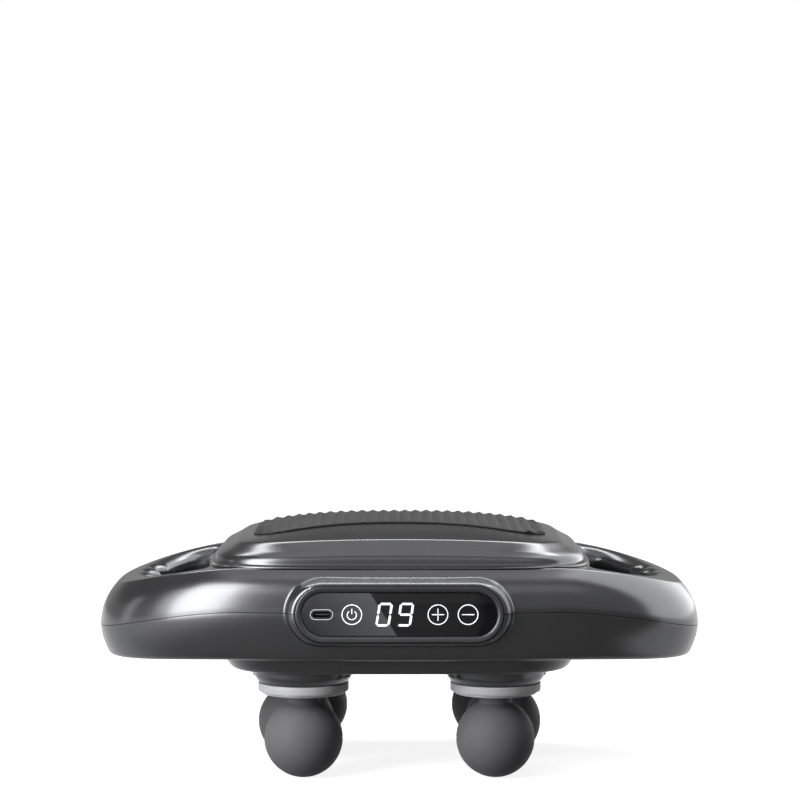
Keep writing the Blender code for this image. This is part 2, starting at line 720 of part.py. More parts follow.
def build_bottom_housing():
    housing = rim_solid("bottom_housing", LOWER_LEVELS, LOWER_GRIP_LEVELS, 0.0, PARTS, GRAPHITE)
    plateau = loft(
        "plateau",
        [
            [
                (
                    plateau_outline(inset, 0.0, PLATEAU_POINTS),
                    PLATEAU_BOTTOM + height * (PLATEAU_DROP + WALL / 2),
                )
                for inset, height in PLATEAU_LEVEL_SHARES
            ]
        ],
        CUTTERS,
    )
    cavity = rim_solid("lower_cavity", LOWER_CAVITY, LOWER_CAVITY_GRIP, WALL, CUTTERS)
    plateau_room = prism(
        "plateau_room",
        plateau_outline(1.0, WALL, ROOM_POINTS),
        FLOOR_TOP,
        RIM_BOTTOM + WALL + OVERRUN,
        CUTTERS,
    )
    join(housing, plateau, half_bump("lower_bump", True))
    cut(housing, cavity, plateau_room)
    bend_handles(housing)
    sockets = []
    bores = []
    for row, y, half_x in HEADS:
        for side_name, side in SIDES:
            sections = [
                (SOCKET_RADIUS - SOCKET_TAPER, SOCKET_BOTTOM),
                (SOCKET_RADIUS, PLATEAU_BOTTOM - SOCKET_DROP * SOCKET_STEP_SHARE),
                (SOCKET_FOOT, PLATEAU_BOTTOM + WALL / 2),
            ]
            at = (side * half_x, y, 0.0)
            wall = [(circle(radius, SOCKET_STEPS), z) for radius, z in sections]
            socket = loft(f"socket_{row}_{side_name}", [wall], CUTTERS)
            socket.location = at
            sockets.append(socket)
            bores.append(
                rod(
                    f"bore_{row}_{side_name}",
                    BUSH_RADIUS + FIT,
                    SOCKET_BOTTOM - OVERRUN,
                    FLOOR_TOP + OVERRUN,
                    BORE_STEPS,
                    CUTTERS,
                    at=at[:2],
                )
            )
    join(housing, *sockets)
    join(housing, *[screw_post(name, x, y) for name, x, y in screw_places()])
    cut(housing, *bores)
    lens_hole = prism(
        "lens_hole",
        superellipse(LENS_HALF_X + FIT, LENS_HALF_Y + FIT, LENS_POWER, LENS_POINTS),
        PLATEAU_BOTTOM - OVERRUN,
        FLOOR_TOP + OVERRUN,
        CUTTERS,
    )
    cut(housing, lens_hole, *display_cutters("lower_front"))
    cut(housing, *[screw_hole(name, x, y) for name, x, y in screw_places()])
    return smooth(freeze(housing))


def screw_post(name, x, y):
    """The post inside the lower housing that a screw passes up through."""
    floor = FLOOR_TOP if x == 0 else RIM_BOTTOM + WALL - handle_drop(x, RIM_BOTTOM + WALL)
    radius = SCREW_HEAD_RADIUS + FIT + SCREW_BOSS_WALL
    return rod("post_" + name, radius, floor - WALL / 2, post_top_z(x), POST_STEPS, CUTTERS, at=(x, y))


def screw_hole(name, x, y):
    """Pocket for the head, open below, and the clearance hole above it."""
    seat = screw_seat_z(x)
    wide = SCREW_HEAD_RADIUS + FIT
    narrow = SCREW_SHANK_RADIUS + FIT
    mouth = PLATEAU_BOTTOM - HANDLE_DROP_BELOW - OVERRUN
    top = post_top_z(x) + OVERRUN
    profile = [(0.0, top), (narrow, top), (narrow, seat), (wide, seat), (wide, mouth), (0.0, mouth)]
    return turned("hole_" + name, profile, POST_STEPS, CUTTERS, at=(x, y, 0.0))


def build_top_housing():
    housing = rim_solid("top_housing", UPPER_LEVELS, UPPER_GRIP_LEVELS, 0.0, PARTS, GRAPHITE)
    cavity = rim_solid("upper_cavity", UPPER_CAVITY, UPPER_CAVITY_GRIP, WALL, CUTTERS)
    inset = DOME_SEAT + WALL
    hatch_outline = superellipse(DOME_HALF_X - inset, DOME_HALF_Y - inset, DOME_POWER, ROOM_POINTS)
    hatch = prism("dome_hatch", hatch_outline, PARTING, RIM_TOP + OVERRUN, CUTTERS)
    bump = half_bump("upper_bump", False)
    lift_bump = box(
        "upper_bump_gap",
        (-BUMP_LENGTH, -BODY_DEPTH, PARTING - FIT),
        (BUMP_LENGTH, 0.0, PARTING + FIT),
        CUTTERS,
    )
    join(housing, bump)
    cut(housing, cavity, hatch, lift_bump)
    bend_handles(housing)
    posts = []
    pilots = []
    for name, x, y in screw_places():
        if x == 0:
            continue
        foot = PARTING + 2 * FIT - handle_drop(abs(x) - SCREW_HEAD_RADIUS - SCREW_BOSS_WALL, PARTING)
        roof = RIM_TOP - WALL / 2 - handle_drop(abs(x) + SCREW_HEAD_RADIUS, RIM_TOP)
        bore = SCREW_SHANK_RADIUS + FIT
        radius = bore + SCREW_BOSS_WALL
        posts.append(rod("upper_post_" + name, radius, foot, roof, POST_STEPS, CUTTERS, at=(x, y)))
        reach = screw_seat_z(x) + screw_length(x) + 2 * FIT
        pilots.append(rod("pilot_" + name, bore, foot - OVERRUN, reach, POST_STEPS, CUTTERS, at=(x, y)))
    join(housing, *posts)
    cut(housing, *pilots, *display_cutters("upper_front"))
    return smooth(freeze(housing))


def dome_z(x, y):
    """Height of the dome's outer surface over a point of the plan."""
    radius = (abs(x / DOME_HALF_X) ** DOME_POWER + abs(y / DOME_HALF_Y) ** DOME_POWER) ** (1 / DOME_POWER)
    radius = min(1.0, radius)
    return SHOULDER + DOME_CROWN * (1 - radius**DOME_RISE_POWER) ** DOME_FALL_POWER


def dome_sections(inset, base, shoulder, count, ring_shares):
    """Loops up the dome's side and in over its crown, for its outside or its inside."""
    half_x = DOME_HALF_X - inset
    half_y = DOME_HALF_Y - inset
    sections = [(superellipse(half_x, half_y, DOME_POWER, count), base)]
    for share in ring_shares:
        z = shoulder + DOME_CROWN * (1 - share**DOME_RISE_POWER) ** DOME_FALL_POWER
        sections.append((superellipse(half_x * share, half_y * share, DOME_POWER, count), z))
    return sections


def build_dome():
    outside = dome_sections(0.0, DOME_BASE, SHOULDER, DOME_POINTS, DOME_RING_SHARES)
    dome = loft("dome_cover", [outside], PARTS, GRAPHITE)
    base = DOME_BASE - OVERRUN
    inside = dome_sections(DOME_WALL, base, SHOULDER - DOME_WALL, ROOM_POINTS, DOME_ROOM_SHARES)
    cut(dome, loft("dome_room", [inside], CUTTERS))
    freeze(dome)
    for vert in dome.data.vertices:
        if vert.co.z < DOME_BASE + FIT:
            vert.co.z -= handle_drop(vert.co.x, RIM_TOP)
    return smooth(dome)


def pad_half_y(x):
    """The pad widens from its waist to its ends."""
    return PAD_HALF_Y + PAD_END_FLARE * (x / PAD_HALF_X) ** 2


def build_grip_pad():
    """A sheet of square studs laid on the crown, each stud a low pyramid."""
    columns = round(2 * PAD_HALF_X / PAD_PITCH)
    rows = round(2 * PAD_HALF_Y / PAD_PITCH) + 2
    bm = bmesh.new()
    bmesh.ops.create_grid(bm, x_segments=columns, y_segments=rows, size=1.0)
    for vert in bm.verts:
        x = vert.co.x * PAD_HALF_X
        y = vert.co.y * pad_half_y(x)
        vert.co = (x, y, dome_z(x, y) + FIT)
    studs = bm.faces[:]
    floor = bmesh.ops.extrude_face_region(bm, geom=studs)
    raised = [found for found in floor["geom"] if isinstance(found, bmesh.types.BMVert)]
    bmesh.ops.translate(bm, verts=raised, vec=(0, 0, PAD_THICKNESS))
    top = [found for found in floor["geom"] if isinstance(found, bmesh.types.BMFace)]
    bmesh.ops.poke(bm, faces=top, offset=PAD_STUD)
    return mesh_object("grip_pad", bm, PARTS, PAD_RUBBER)


def build_display():
    bezel = front_slab(
        "display_bezel", BEZEL_LENGTH, BEZEL_HEIGHT, FRONT_Y + BEZEL_DEPTH, FRONT_Y, PARTS, GRAPHITE
    )
    hole = front_slab(
        "bezel_hole",
        WINDOW_LENGTH,
        WINDOW_HEIGHT,
        FRONT_Y + BEZEL_DEPTH + OVERRUN,
        FRONT_Y - OVERRUN,
        CUTTERS,
    )
    freeze(cut(bezel, hole))
    window_front = FRONT_Y + WINDOW_RECESS
    window = front_slab(
        "display_window",
        WINDOW_LENGTH - 2 * FIT,
        WINDOW_HEIGHT - 2 * FIT,
        window_front + WINDOW_THICKNESS,
        window_front,
        PARTS,
        BLACK_GLASS,
    )
    port_hole = front_slab(
        "port_hole",
        USB_LENGTH + 2 * FIT,
        USB_HEIGHT + 2 * FIT,
        window_front + WINDOW_THICKNESS + OVERRUN,
        window_front - OVERRUN,
        CUTTERS,
        steps=PORT_STEPS,
    )
    port_hole.location.x = USB_X
    freeze(cut(window, port_hole))

    board_half = WINDOW_LENGTH / 2
    wall_inset, wall_top = UPPER_LEVELS[1]
    board_front = front_y(board_half, WALL + wall_inset) + BOARD_SETBACK
    board_half_height = wall_top - PARTING - BOARD_SETBACK
    board = box(
        "display_board",
        (-board_half, board_front, PARTING - board_half_height),
        (board_half, board_front + BOARD_THICKNESS, PARTING + board_half_height),
        PARTS,
        BOARD_GREEN,
    )
    digits = box(
        "digit_block",
        (
            DIGIT_BLOCK_X - DIGIT_BLOCK_LENGTH / 2,
            window_front + WINDOW_THICKNESS + FIT,
            PARTING - DIGIT_BLOCK_HEIGHT / 2,
        ),
        (
            DIGIT_BLOCK_X + DIGIT_BLOCK_LENGTH / 2,
            board_front + BOARD_THICKNESS / 2,
            PARTING + DIGIT_BLOCK_HEIGHT / 2,
        ),
        CUTTERS,
    )
    freeze(join(board, digits))

    usb_back = board_front - FIT
    socket = front_slab(
        "usb_socket", USB_LENGTH, USB_HEIGHT, usb_back, window_front, PARTS, STEEL, steps=PORT_STEPS
    )
    throat = front_slab(
        "usb_throat",
        USB_LENGTH - 2 * USB_WALL,
        USB_HEIGHT - 2 * USB_WALL,
        usb_back - USB_BASE,
        window_front - OVERRUN,
        CUTTERS,
        steps=PORT_STEPS,
    )
    tongue = box(
        "usb_tongue",
        (-USB_TONGUE_LENGTH / 2, window_front + USB_TONGUE_SETBACK, PARTING - USB_TONGUE_HEIGHT / 2),
        (USB_TONGUE_LENGTH / 2, usb_back - USB_BASE / 2, PARTING + USB_TONGUE_HEIGHT / 2),
        CUTTERS,
    )
    cut(socket, throat)
    join(socket, tongue)
    freeze(socket)
    socket.location.x = USB_X


def build_infrared_window():
    lens = prism(
        "infrared_window",
        superellipse(LENS_HALF_X, LENS_HALF_Y, LENS_POWER, LENS_POINTS),
        PLATEAU_BOTTOM + LENS_RECESS,
        FLOOR_TOP + 2 * FIT,
        PARTS,
        LENS_RED,
    )
    flange = prism(
        "lens_flange",
        superellipse(LENS_HALF_X + LENS_FLANGE, LENS_HALF_Y + LENS_FLANGE, LENS_POWER, LENS_POINTS),
        FLOOR_TOP + FIT,
        FLOOR_TOP + FIT + LENS_FLANGE_HEIGHT,
        CUTTERS,
    )
    freeze(join(lens, flange))

    board_bottom = FLOOR_TOP + LENS_FLANGE_HEIGHT + 2 * FIT
    board_bottom += LAMP_HEIGHT
    board = prism(
        "heat_lamp_board",
        superellipse(LENS_HALF_X, LENS_HALF_Y, LENS_POWER, LAMP_BOARD_POINTS),
        board_bottom,
        board_bottom + BOARD_THICKNESS,
        PARTS,
        BOARD_GREEN,
    )
    lamps = []
    for i in range(LAMP_COLUMNS):
        for j in range(LAMP_ROWS):
            x = (i - (LAMP_COLUMNS - 1) / 2) * LAMP_PITCH
            y = (j - (LAMP_ROWS - 1) / 2) * LAMP_PITCH
            lamps.append(
                rod(
                    f"lamp_{i}_{j}",
                    LAMP_RADIUS,
                    board_bottom - LAMP_HEIGHT,
                    board_bottom + BOARD_THICKNESS / 2,
                    LAMP_STEPS,
                    CUTTERS,
                    at=(x, y),
                )
            )
    freeze(join(board, *lamps))


def build_heads():
    """Ball, stem, guide bush and seal ring of each of the six heads."""
    for row, y, half_x in HEADS:
        for side_name, side in SIDES:
            at = (side * half_x, y, 0.0)
            place = f"{row}_{side_name}"
            ball = bpy.data.meshes.new("ball")
            bm = bmesh.new()
            bmesh.ops.create_uvsphere(
                bm,
                u_segments=BALL_SEGMENTS,
                v_segments=BALL_RINGS,
                radius=BALL_RADIUS,
                matrix=Matrix.Translation((0, 0, BALL_RADIUS)),
            )
            bm.to_mesh(ball)
            bm.free()
            ball.materials.append(BALL_RUBBER)
            ball_object = bpy.data.objects.new(f"head_ball_{place}", ball)
            PARTS.objects.link(ball_object)
            ball_object.location = at
            ball_object.parent = CENTRE
            stem_bottom = 2 * BALL_RADIUS - STEM_GRIP
            socket = rod(
                f"ball_bore_{place}",
                STEM_RADIUS + FIT,
                stem_bottom - FIT,
                2 * BALL_RADIUS + OVERRUN,
                ROD_STEPS,
                CUTTERS,
                at=at[:2],
            )
            smooth(freeze(cut(ball_object, socket)))
            stem = f"head_stem_{place}"
            rod(stem, STEM_RADIUS, stem_bottom, STEM_TOP, ROD_STEPS, PARTS, STEEL, at=at[:2])

            bore = STEM_RADIUS + FIT
            bush = [
                (BUSH_FLANGE_RADIUS, BUSH_TOP),
                (BUSH_FLANGE_RADIUS, FLOOR_TOP + FIT),
                (BUSH_RADIUS, FLOOR_TOP + FIT),
                (BUSH_RADIUS, SOCKET_BOTTOM),
                (bore, SOCKET_BOTTOM),
                (bore, BUSH_TOP),
            ]
            turned(f"guide_bush_{place}", bush, BUSH_STEPS, PARTS, BUSH_PLASTIC, at, closed=True)
            lip = SEAL_RADIUS - SEAL_LIP_STEP
            seal = [
                (SEAL_RADIUS, SEAL_TOP),
                (SEAL_RADIUS, SEAL_BOTTOM + SEAL_LIP_HEIGHT),
                (lip, SEAL_BOTTOM + SEAL_LIP_HEIGHT),
                (lip, SEAL_BOTTOM),
                (bore, SEAL_BOTTOM),
                (bore, SEAL_TOP),
            ]
            turned(f"seal_ring_{place}", seal, SEAL_STEPS, PARTS, SEAL_PLASTIC, at, closed=True)


def along_y(target):
    """Turns a piece built upright about Z so that its axis runs along Y, through the crank."""
    target.rotation_euler = (-math.pi / 2, 0, 0)
    return target


def build_drive(side_name, side):
    """Carriage with its yoke, crankshaft, roller, motor and frame of one side."""
    x = side * MIDDLE_HEAD_X
    axis = (x, 0.0, CRANK_Z)

    carriage = box(
        f"yoke_carriage_{side_name}",
        (x - YOKE_HALF_WIDTH, -YOKE_THICKNESS / 2, CARRIER_BOTTOM + CARRIER_HEIGHT / 2),
        (x + YOKE_HALF_WIDTH, YOKE_THICKNESS / 2, SLOT_Z + SLOT_HALF_HEIGHT + YOKE_WALL),
        PARTS,
        FRAME_NYLON,
    )
    half = CARRIER_WIDTH / 2
    outer_x = side * OUTER_HEAD_X
    line = [(outer_x, -HEAD_ROW_PITCH), (x, 0.0), (outer_x, HEAD_ROW_PITCH)]
    edge = [(px + half, py) for px, py in line] + [(px - half, py) for px, py in reversed(line)]
    bar = prism(f"carrier_bar_{side_name}", edge, CARRIER_BOTTOM, CARRIER_TOP, CUTTERS)
    pads = []
    wells = []
    for row, y, half_x in HEADS:
        at = (side * half_x, y)
        pad = f"pad_{row}_{side_name}"
        pads.append(rod(pad, CARRIER_PAD_RADIUS, CARRIER_BOTTOM, CARRIER_TOP, PAD_STEPS, CUTTERS, at=at))
        wells.append(
            rod(
                f"well_{row}_{side_name}",
                STEM_RADIUS + FIT,
                CARRIER_BOTTOM - OVERRUN,
                CARRIER_BOTTOM + CARRIER_SOCKET_DEPTH,
                ROD_STEPS,
                CUTTERS,
                at=at,
            )
        )
    slot = box(
        f"slot_{side_name}",
        (x - SLOT_HALF_LENGTH, -YOKE_THICKNESS, SLOT_Z - SLOT_HALF_HEIGHT),
        (x + SLOT_HALF_LENGTH, YOKE_THICKNESS, SLOT_Z + SLOT_HALF_HEIGHT),
        CUTTERS,
    )
    join(carriage, bar, *pads)
    cut(carriage, *wells, slot)
    freeze(carriage)

    motor_front = PLATE_END + FIT
    shaft_back = motor_front + MOTOR_SHAFT_GRIP
    shaft_name = f"crankshaft_{side_name}"
    shaft = along_y(
        rod(shaft_name, SHAFT_RADIUS, -PLATE_END - SHAFT_END, shaft_back, ROD_STEPS, PARTS, STEEL)
    )
    gap_end = WEB_START + WEB_THICKNESS / 2
    gap = along_y(rod(f"throw_gap_{side_name}", WEB_RADIUS, -gap_end, gap_end, ROD_STEPS, CUTTERS))
    webs = [
        along_y(rod(f"web_{end}_{side_name}", WEB_RADIUS, start, start + WEB_THICKNESS, WEB_STEPS, CUTTERS))
        for end, start in (("front", -WEB_END), ("back", WEB_START))
    ]
    pin_name = f"crank_pin_{side_name}"
    pin = along_y(rod(pin_name, CRANK_PIN_RADIUS, -gap_end, gap_end, ROD_STEPS, CUTTERS))
    for piece in (shaft, gap, *webs):
        piece.location = axis
    pin.location = (x, 0.0, CRANK_Z + THROW)
    cut(shaft, gap)
    join(shaft, *webs, pin)
    freeze(shaft)

    inner = CRANK_PIN_RADIUS + FIT
    half = YOKE_THICKNESS / 2
    ring = [(ROLLER_RADIUS, half), (ROLLER_RADIUS, -half), (inner, -half), (inner, half)]
    roller = turned(f"crank_roller_{side_name}", ring, ROLLER_STEPS, PARTS, STEEL, closed=True)
    along_y(roller).location = (x, 0.0, CRANK_Z + THROW)

    mouth = SHAFT_RADIUS + FIT
    depth = motor_front + MOTOR_SHAFT_GRIP + FIT
    back = motor_front + MOTOR_LENGTH
    can = [
        (0.0, back),
        (MOTOR_RADIUS - MOTOR_EDGE, back),
        (MOTOR_RADIUS, back - MOTOR_EDGE),
        (MOTOR_RADIUS, motor_front),
        (mouth, motor_front),
        (mouth, depth),
        (0.0, depth),
    ]
    motor = turned(f"motor_{side_name}", can, MOTOR_STEPS, PARTS, STEEL)
    along_y(motor).location = axis

    foot = FLOOR_TOP + FIT
    frame_top = CRANK_Z + FRAME_TOP_MARGIN
    frame = box(
        f"drive_frame_{side_name}",
        (x - FRAME_HALF_WIDTH, -PLATE_END, foot),
        (x + FRAME_HALF_WIDTH, PLATE_END, frame_top),
        PARTS,
        FRAME_NYLON,
    )
    crank_room = box(
        f"crank_room_{side_name}",
        (x - FRAME_HALF_WIDTH - OVERRUN, -PLATE_START, foot + FRAME_PLATE),
        (x + FRAME_HALF_WIDTH + OVERRUN, PLATE_START, frame_top + OVERRUN),
        CUTTERS,
    )
    portal = box(
        f"portal_{side_name}",
        (x - FRAME_INNER, -PLATE_END - OVERRUN, foot - OVERRUN),
        (x + FRAME_INNER, PLATE_END + OVERRUN, CARRIER_TOP + MOTOR_CLEARANCE),
        CUTTERS,
    )
    journal_end = PLATE_END + OVERRUN
    journal = rod(f"journal_{side_name}", mouth, -journal_end, journal_end, ROD_STEPS, CUTTERS)
    along_y(journal).location = axis
    freeze(cut(frame, crank_room, portal, journal))


def build_power():
    """Battery tray on the two centre screws, its two cells and the main board above them."""
    tray = box(
        "battery_tray",
        (-TRAY_HALF_X, -TRAY_HALF_Y, TRAY_BOTTOM),
        (TRAY_HALF_X, TRAY_HALF_Y, TRAY_END_TOP),
        PARTS,
        FRAME_NYLON,
    )
    cell_room = box(
        "cell_room",
        (-TRAY_HALF_X + TRAY_WALL, -CELL_LENGTH / 2 - FIT, TRAY_BOTTOM + TRAY_FLOOR),
        (TRAY_HALF_X - TRAY_WALL, CELL_LENGTH / 2 + FIT, TRAY_END_TOP + OVERRUN),
        CUTTERS,
    )
    cheek_top = TRAY_BOTTOM + TRAY_FLOOR + 2 * CELL_RADIUS * TRAY_CHEEK_SHARE
    cheek_cut = box(
        "cheek_cut",
        (-TRAY_HALF_X - OVERRUN, -CELL_LENGTH / 2, cheek_top),
        (TRAY_HALF_X + OVERRUN, CELL_LENGTH / 2, TRAY_END_TOP + OVERRUN),
        CUTTERS,
    )
    pilots = [
        rod(
            f"tray_pilot_{name}",
            SCREW_SHANK_RADIUS + FIT,
            TRAY_BOTTOM - OVERRUN,
            screw_seat_z(0) + screw_length(0) + FIT,
            POST_STEPS,
            CUTTERS,
            at=(0.0, y),
        )
        for name, y in (("front", -CENTRE_SCREW_Y), ("rear", CENTRE_SCREW_Y))
    ]
    freeze(cut(tray, cell_room, cheek_cut, *pilots))

    for side_name, side in SIDES:
        half = CELL_LENGTH / 2
        cell_name = f"battery_cell_{side_name}"
        cell = rod(cell_name, CELL_RADIUS, -half, half, CELL_STEPS, PARTS, CELL_WRAP)
        along_y(cell).location = (side * (CELL_RADIUS + CELL_GAP / 2), 0.0, CELL_Z)

    board_bottom = TRAY_END_TOP + FIT
    half_x = TRAY_HALF_X - MAIN_BOARD_MARGIN
    half_y = TRAY_HALF_Y - MAIN_BOARD_MARGIN
    board = box(
        "main_board",
        (-half_x, -half_y, board_bottom),
        (half_x, half_y, board_bottom + BOARD_THICKNESS),
        PARTS,
        BOARD_GREEN,
    )
    chips = []
    for i in (-1, 0, 1):
        y = i * half_y / 2
        chips.append(
            box(
                f"chip_{i + 1}",
                (-CHIP_SIZE / 2, y - CHIP_SIZE / 2, board_bottom + BOARD_THICKNESS / 2),
                (CHIP_SIZE / 2, y + CHIP_SIZE / 2, board_bottom + BOARD_THICKNESS + CHIP_HEIGHT),
                CUTTERS,
            )
        )
    freeze(join(board, *chips))


def screw_length(x):
    """Shank length from the seat: through the post and a bite into what the screw holds."""
    return post_top_z(x) - screw_seat_z(x) + SCREW_BITE


def build_screws():
    for name, x, y in screw_places():
        seat = screw_seat_z(x) - FIT
        tip = seat + screw_length(x)
        low = seat - SCREW_HEAD_HEIGHT
        drive = low + SCREW_DRIVE_DEPTH
        profile = [
            (0.0, tip),
            (SCREW_SHANK_RADIUS, tip),
            (SCREW_SHANK_RADIUS, seat),
            (SCREW_HEAD_RADIUS, seat),
            (SCREW_HEAD_RADIUS, low),
            (SCREW_DRIVE_RADIUS, low),
            (SCREW_DRIVE_RADIUS, drive),
            (0.0, drive),
        ]
        turned(name, profile, SCREW_STEPS, PARTS, SCREW_BLACK, (x, y, 0.0))


build_bottom_housing()
build_top_housing()
build_dome()
build_grip_pad()
build_display()
build_infrared_window()
build_heads()
for drive_side, drive_sign in SIDES:
    build_drive(drive_side, drive_sign)
build_power()
build_screws()
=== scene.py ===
"""Percussion massager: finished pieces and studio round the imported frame.

Six ball heads under a gunmetal body, two handles with finger grooves, a domed top with a grip
pad and a touch display in front. Metres, +Z up, the display facing -Y. Pieces are modelled
about the body's own centre line and moved to the frame's place when they are finished.
"""

import json
import logging
import math
from collections.abc import Callable, Mapping, Sequence
from dataclasses import dataclass
from enum import Enum

import bmesh
import bpy
import numpy as np
from mathutils import Matrix, Vector


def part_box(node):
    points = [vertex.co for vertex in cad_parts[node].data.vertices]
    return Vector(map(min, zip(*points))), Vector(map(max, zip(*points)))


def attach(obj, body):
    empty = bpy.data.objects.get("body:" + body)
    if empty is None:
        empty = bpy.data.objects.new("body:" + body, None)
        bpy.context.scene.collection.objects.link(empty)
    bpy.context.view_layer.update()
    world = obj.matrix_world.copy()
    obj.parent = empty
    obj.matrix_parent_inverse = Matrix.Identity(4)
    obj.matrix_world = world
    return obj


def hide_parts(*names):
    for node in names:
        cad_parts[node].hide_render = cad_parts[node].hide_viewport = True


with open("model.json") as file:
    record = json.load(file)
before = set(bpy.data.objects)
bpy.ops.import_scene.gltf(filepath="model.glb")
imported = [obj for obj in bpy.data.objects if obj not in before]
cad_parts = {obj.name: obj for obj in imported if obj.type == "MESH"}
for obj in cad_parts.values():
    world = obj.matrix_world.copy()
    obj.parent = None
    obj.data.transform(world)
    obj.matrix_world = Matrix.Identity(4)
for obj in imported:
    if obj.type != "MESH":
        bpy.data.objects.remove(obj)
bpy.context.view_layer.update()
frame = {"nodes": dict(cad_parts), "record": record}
LOG = logging.getLogger("massager")

MM = 0.001
OVERRUN = 4 * MM
MERGE = 0.005 * MM
NUDGE = 0.002 * MM
TRIES = 4
LIP = 1.12
EDGE_STEPS = 6
SHARP = math.radians(32)
SHELL_SHARP = math.radians(54)
STUD_SHARP = math.radians(9)
BALL_SHARP = math.radians(50)

BMesh = bmesh.types.BMesh
Object = bpy.types.Object
Socket = bpy.types.NodeSocket
Tree = bpy.types.NodeTree
Pair = tuple[float, float]
Triple = tuple[float, float, float]
Range = tuple[float, float, float, float]
Inputs = Mapping[str | int, object]
Heights = float | Sequence[float]
Outline = list[Pair]
Profile = list[Pair]


class Body(Enum):
    """Bodies of the frame that pieces ride on."""

    HOUSING = "housing"
    LEFT_CARRIAGE = "left_carriage"
    RIGHT_CARRIAGE = "right_carriage"


class Side(Enum):
    """The two handles' sides, seen from the display."""

    LEFT = "left"
    RIGHT = "right"

    @property
    def sign(self) -> int:
        """Direction along X."""
        return -1 if self is Side.LEFT else 1

    @property
    def carriage(self) -> Body:
        """Body that carries this side's three heads."""
        return Body.LEFT_CARRIAGE if self is Side.LEFT else Body.RIGHT_CARRIAGE


class Slot(Enum):
    """Material slots of the record."""

    SHELL = "graphite_shell"
    PAD = "pad_rubber"
    BALL = "ball_rubber"
    SEAL = "seal_plastic"
    WINDOW = "black_window"
    LENS = "infrared_lens"
    STEEL = "bright_steel"
    SCREW = "black_screw"
    BUSH = "bush_plastic"
    NYLON = "frame_nylon"
    BOARD = "circuit_board"
    CELL = "cell_wrap"


# Shader helpers


def feed(tree: Tree, node: bpy.types.Node, inputs: Inputs) -> None:
    """Sets or links inputs of a node.

    Args:
        tree: Node tree that holds the node.
        node: The node.
        inputs: For each input's name or number, the socket to link or the value to set.
    """
    for key, value in inputs.items():
        if isinstance(value, Socket):
            tree.links.new(value, node.inputs[key])
        else:
            node.inputs[key].default_value = value


def add_node(tree: Tree, kind: str, inputs: Inputs | None = None) -> bpy.types.Node:
    """Adds a shader node.

    Args:
        tree: Node tree to add it to.
        kind: Its type, after the word ShaderNode.
        inputs: What its inputs are set or linked to.

    Returns:
        The node.
    """
    node = tree.nodes.new("ShaderNode" + kind)
    feed(tree, node, inputs or {})
    return node


def ranged(tree: Tree, source: Socket, *ends: float) -> Socket:
    """Maps a socket from one range of values to another.

    Args:
        tree: Node tree that holds the socket.
        source: The socket.
        ends: Both ends of its range, then the two values that they become.

    Returns:
        The mapped socket.
    """
    names = ("Value", "From Min", "From Max", "To Min", "To Max")
    inputs = dict(zip(names, (source, *ends)))
    return add_node(tree, "MapRange", inputs).outputs["Result"]


def joined(tree: Tree, operation: str, first: Socket, *others: Socket | float) -> Socket:
    """Joins values one after another by an arithmetic operation.

    Args:
        tree: Node tree that holds the sockets.
        operation: Name of the operation.
        first: First value's socket.
        others: The further values' sockets, or numbers.

    Returns:
        The result's socket.
    """
    for other in others:
        node = add_node(tree, "Math", {0: first, 1: other})
        node.operation = operation
        first = node.outputs["Value"]
    return first


# Finishes


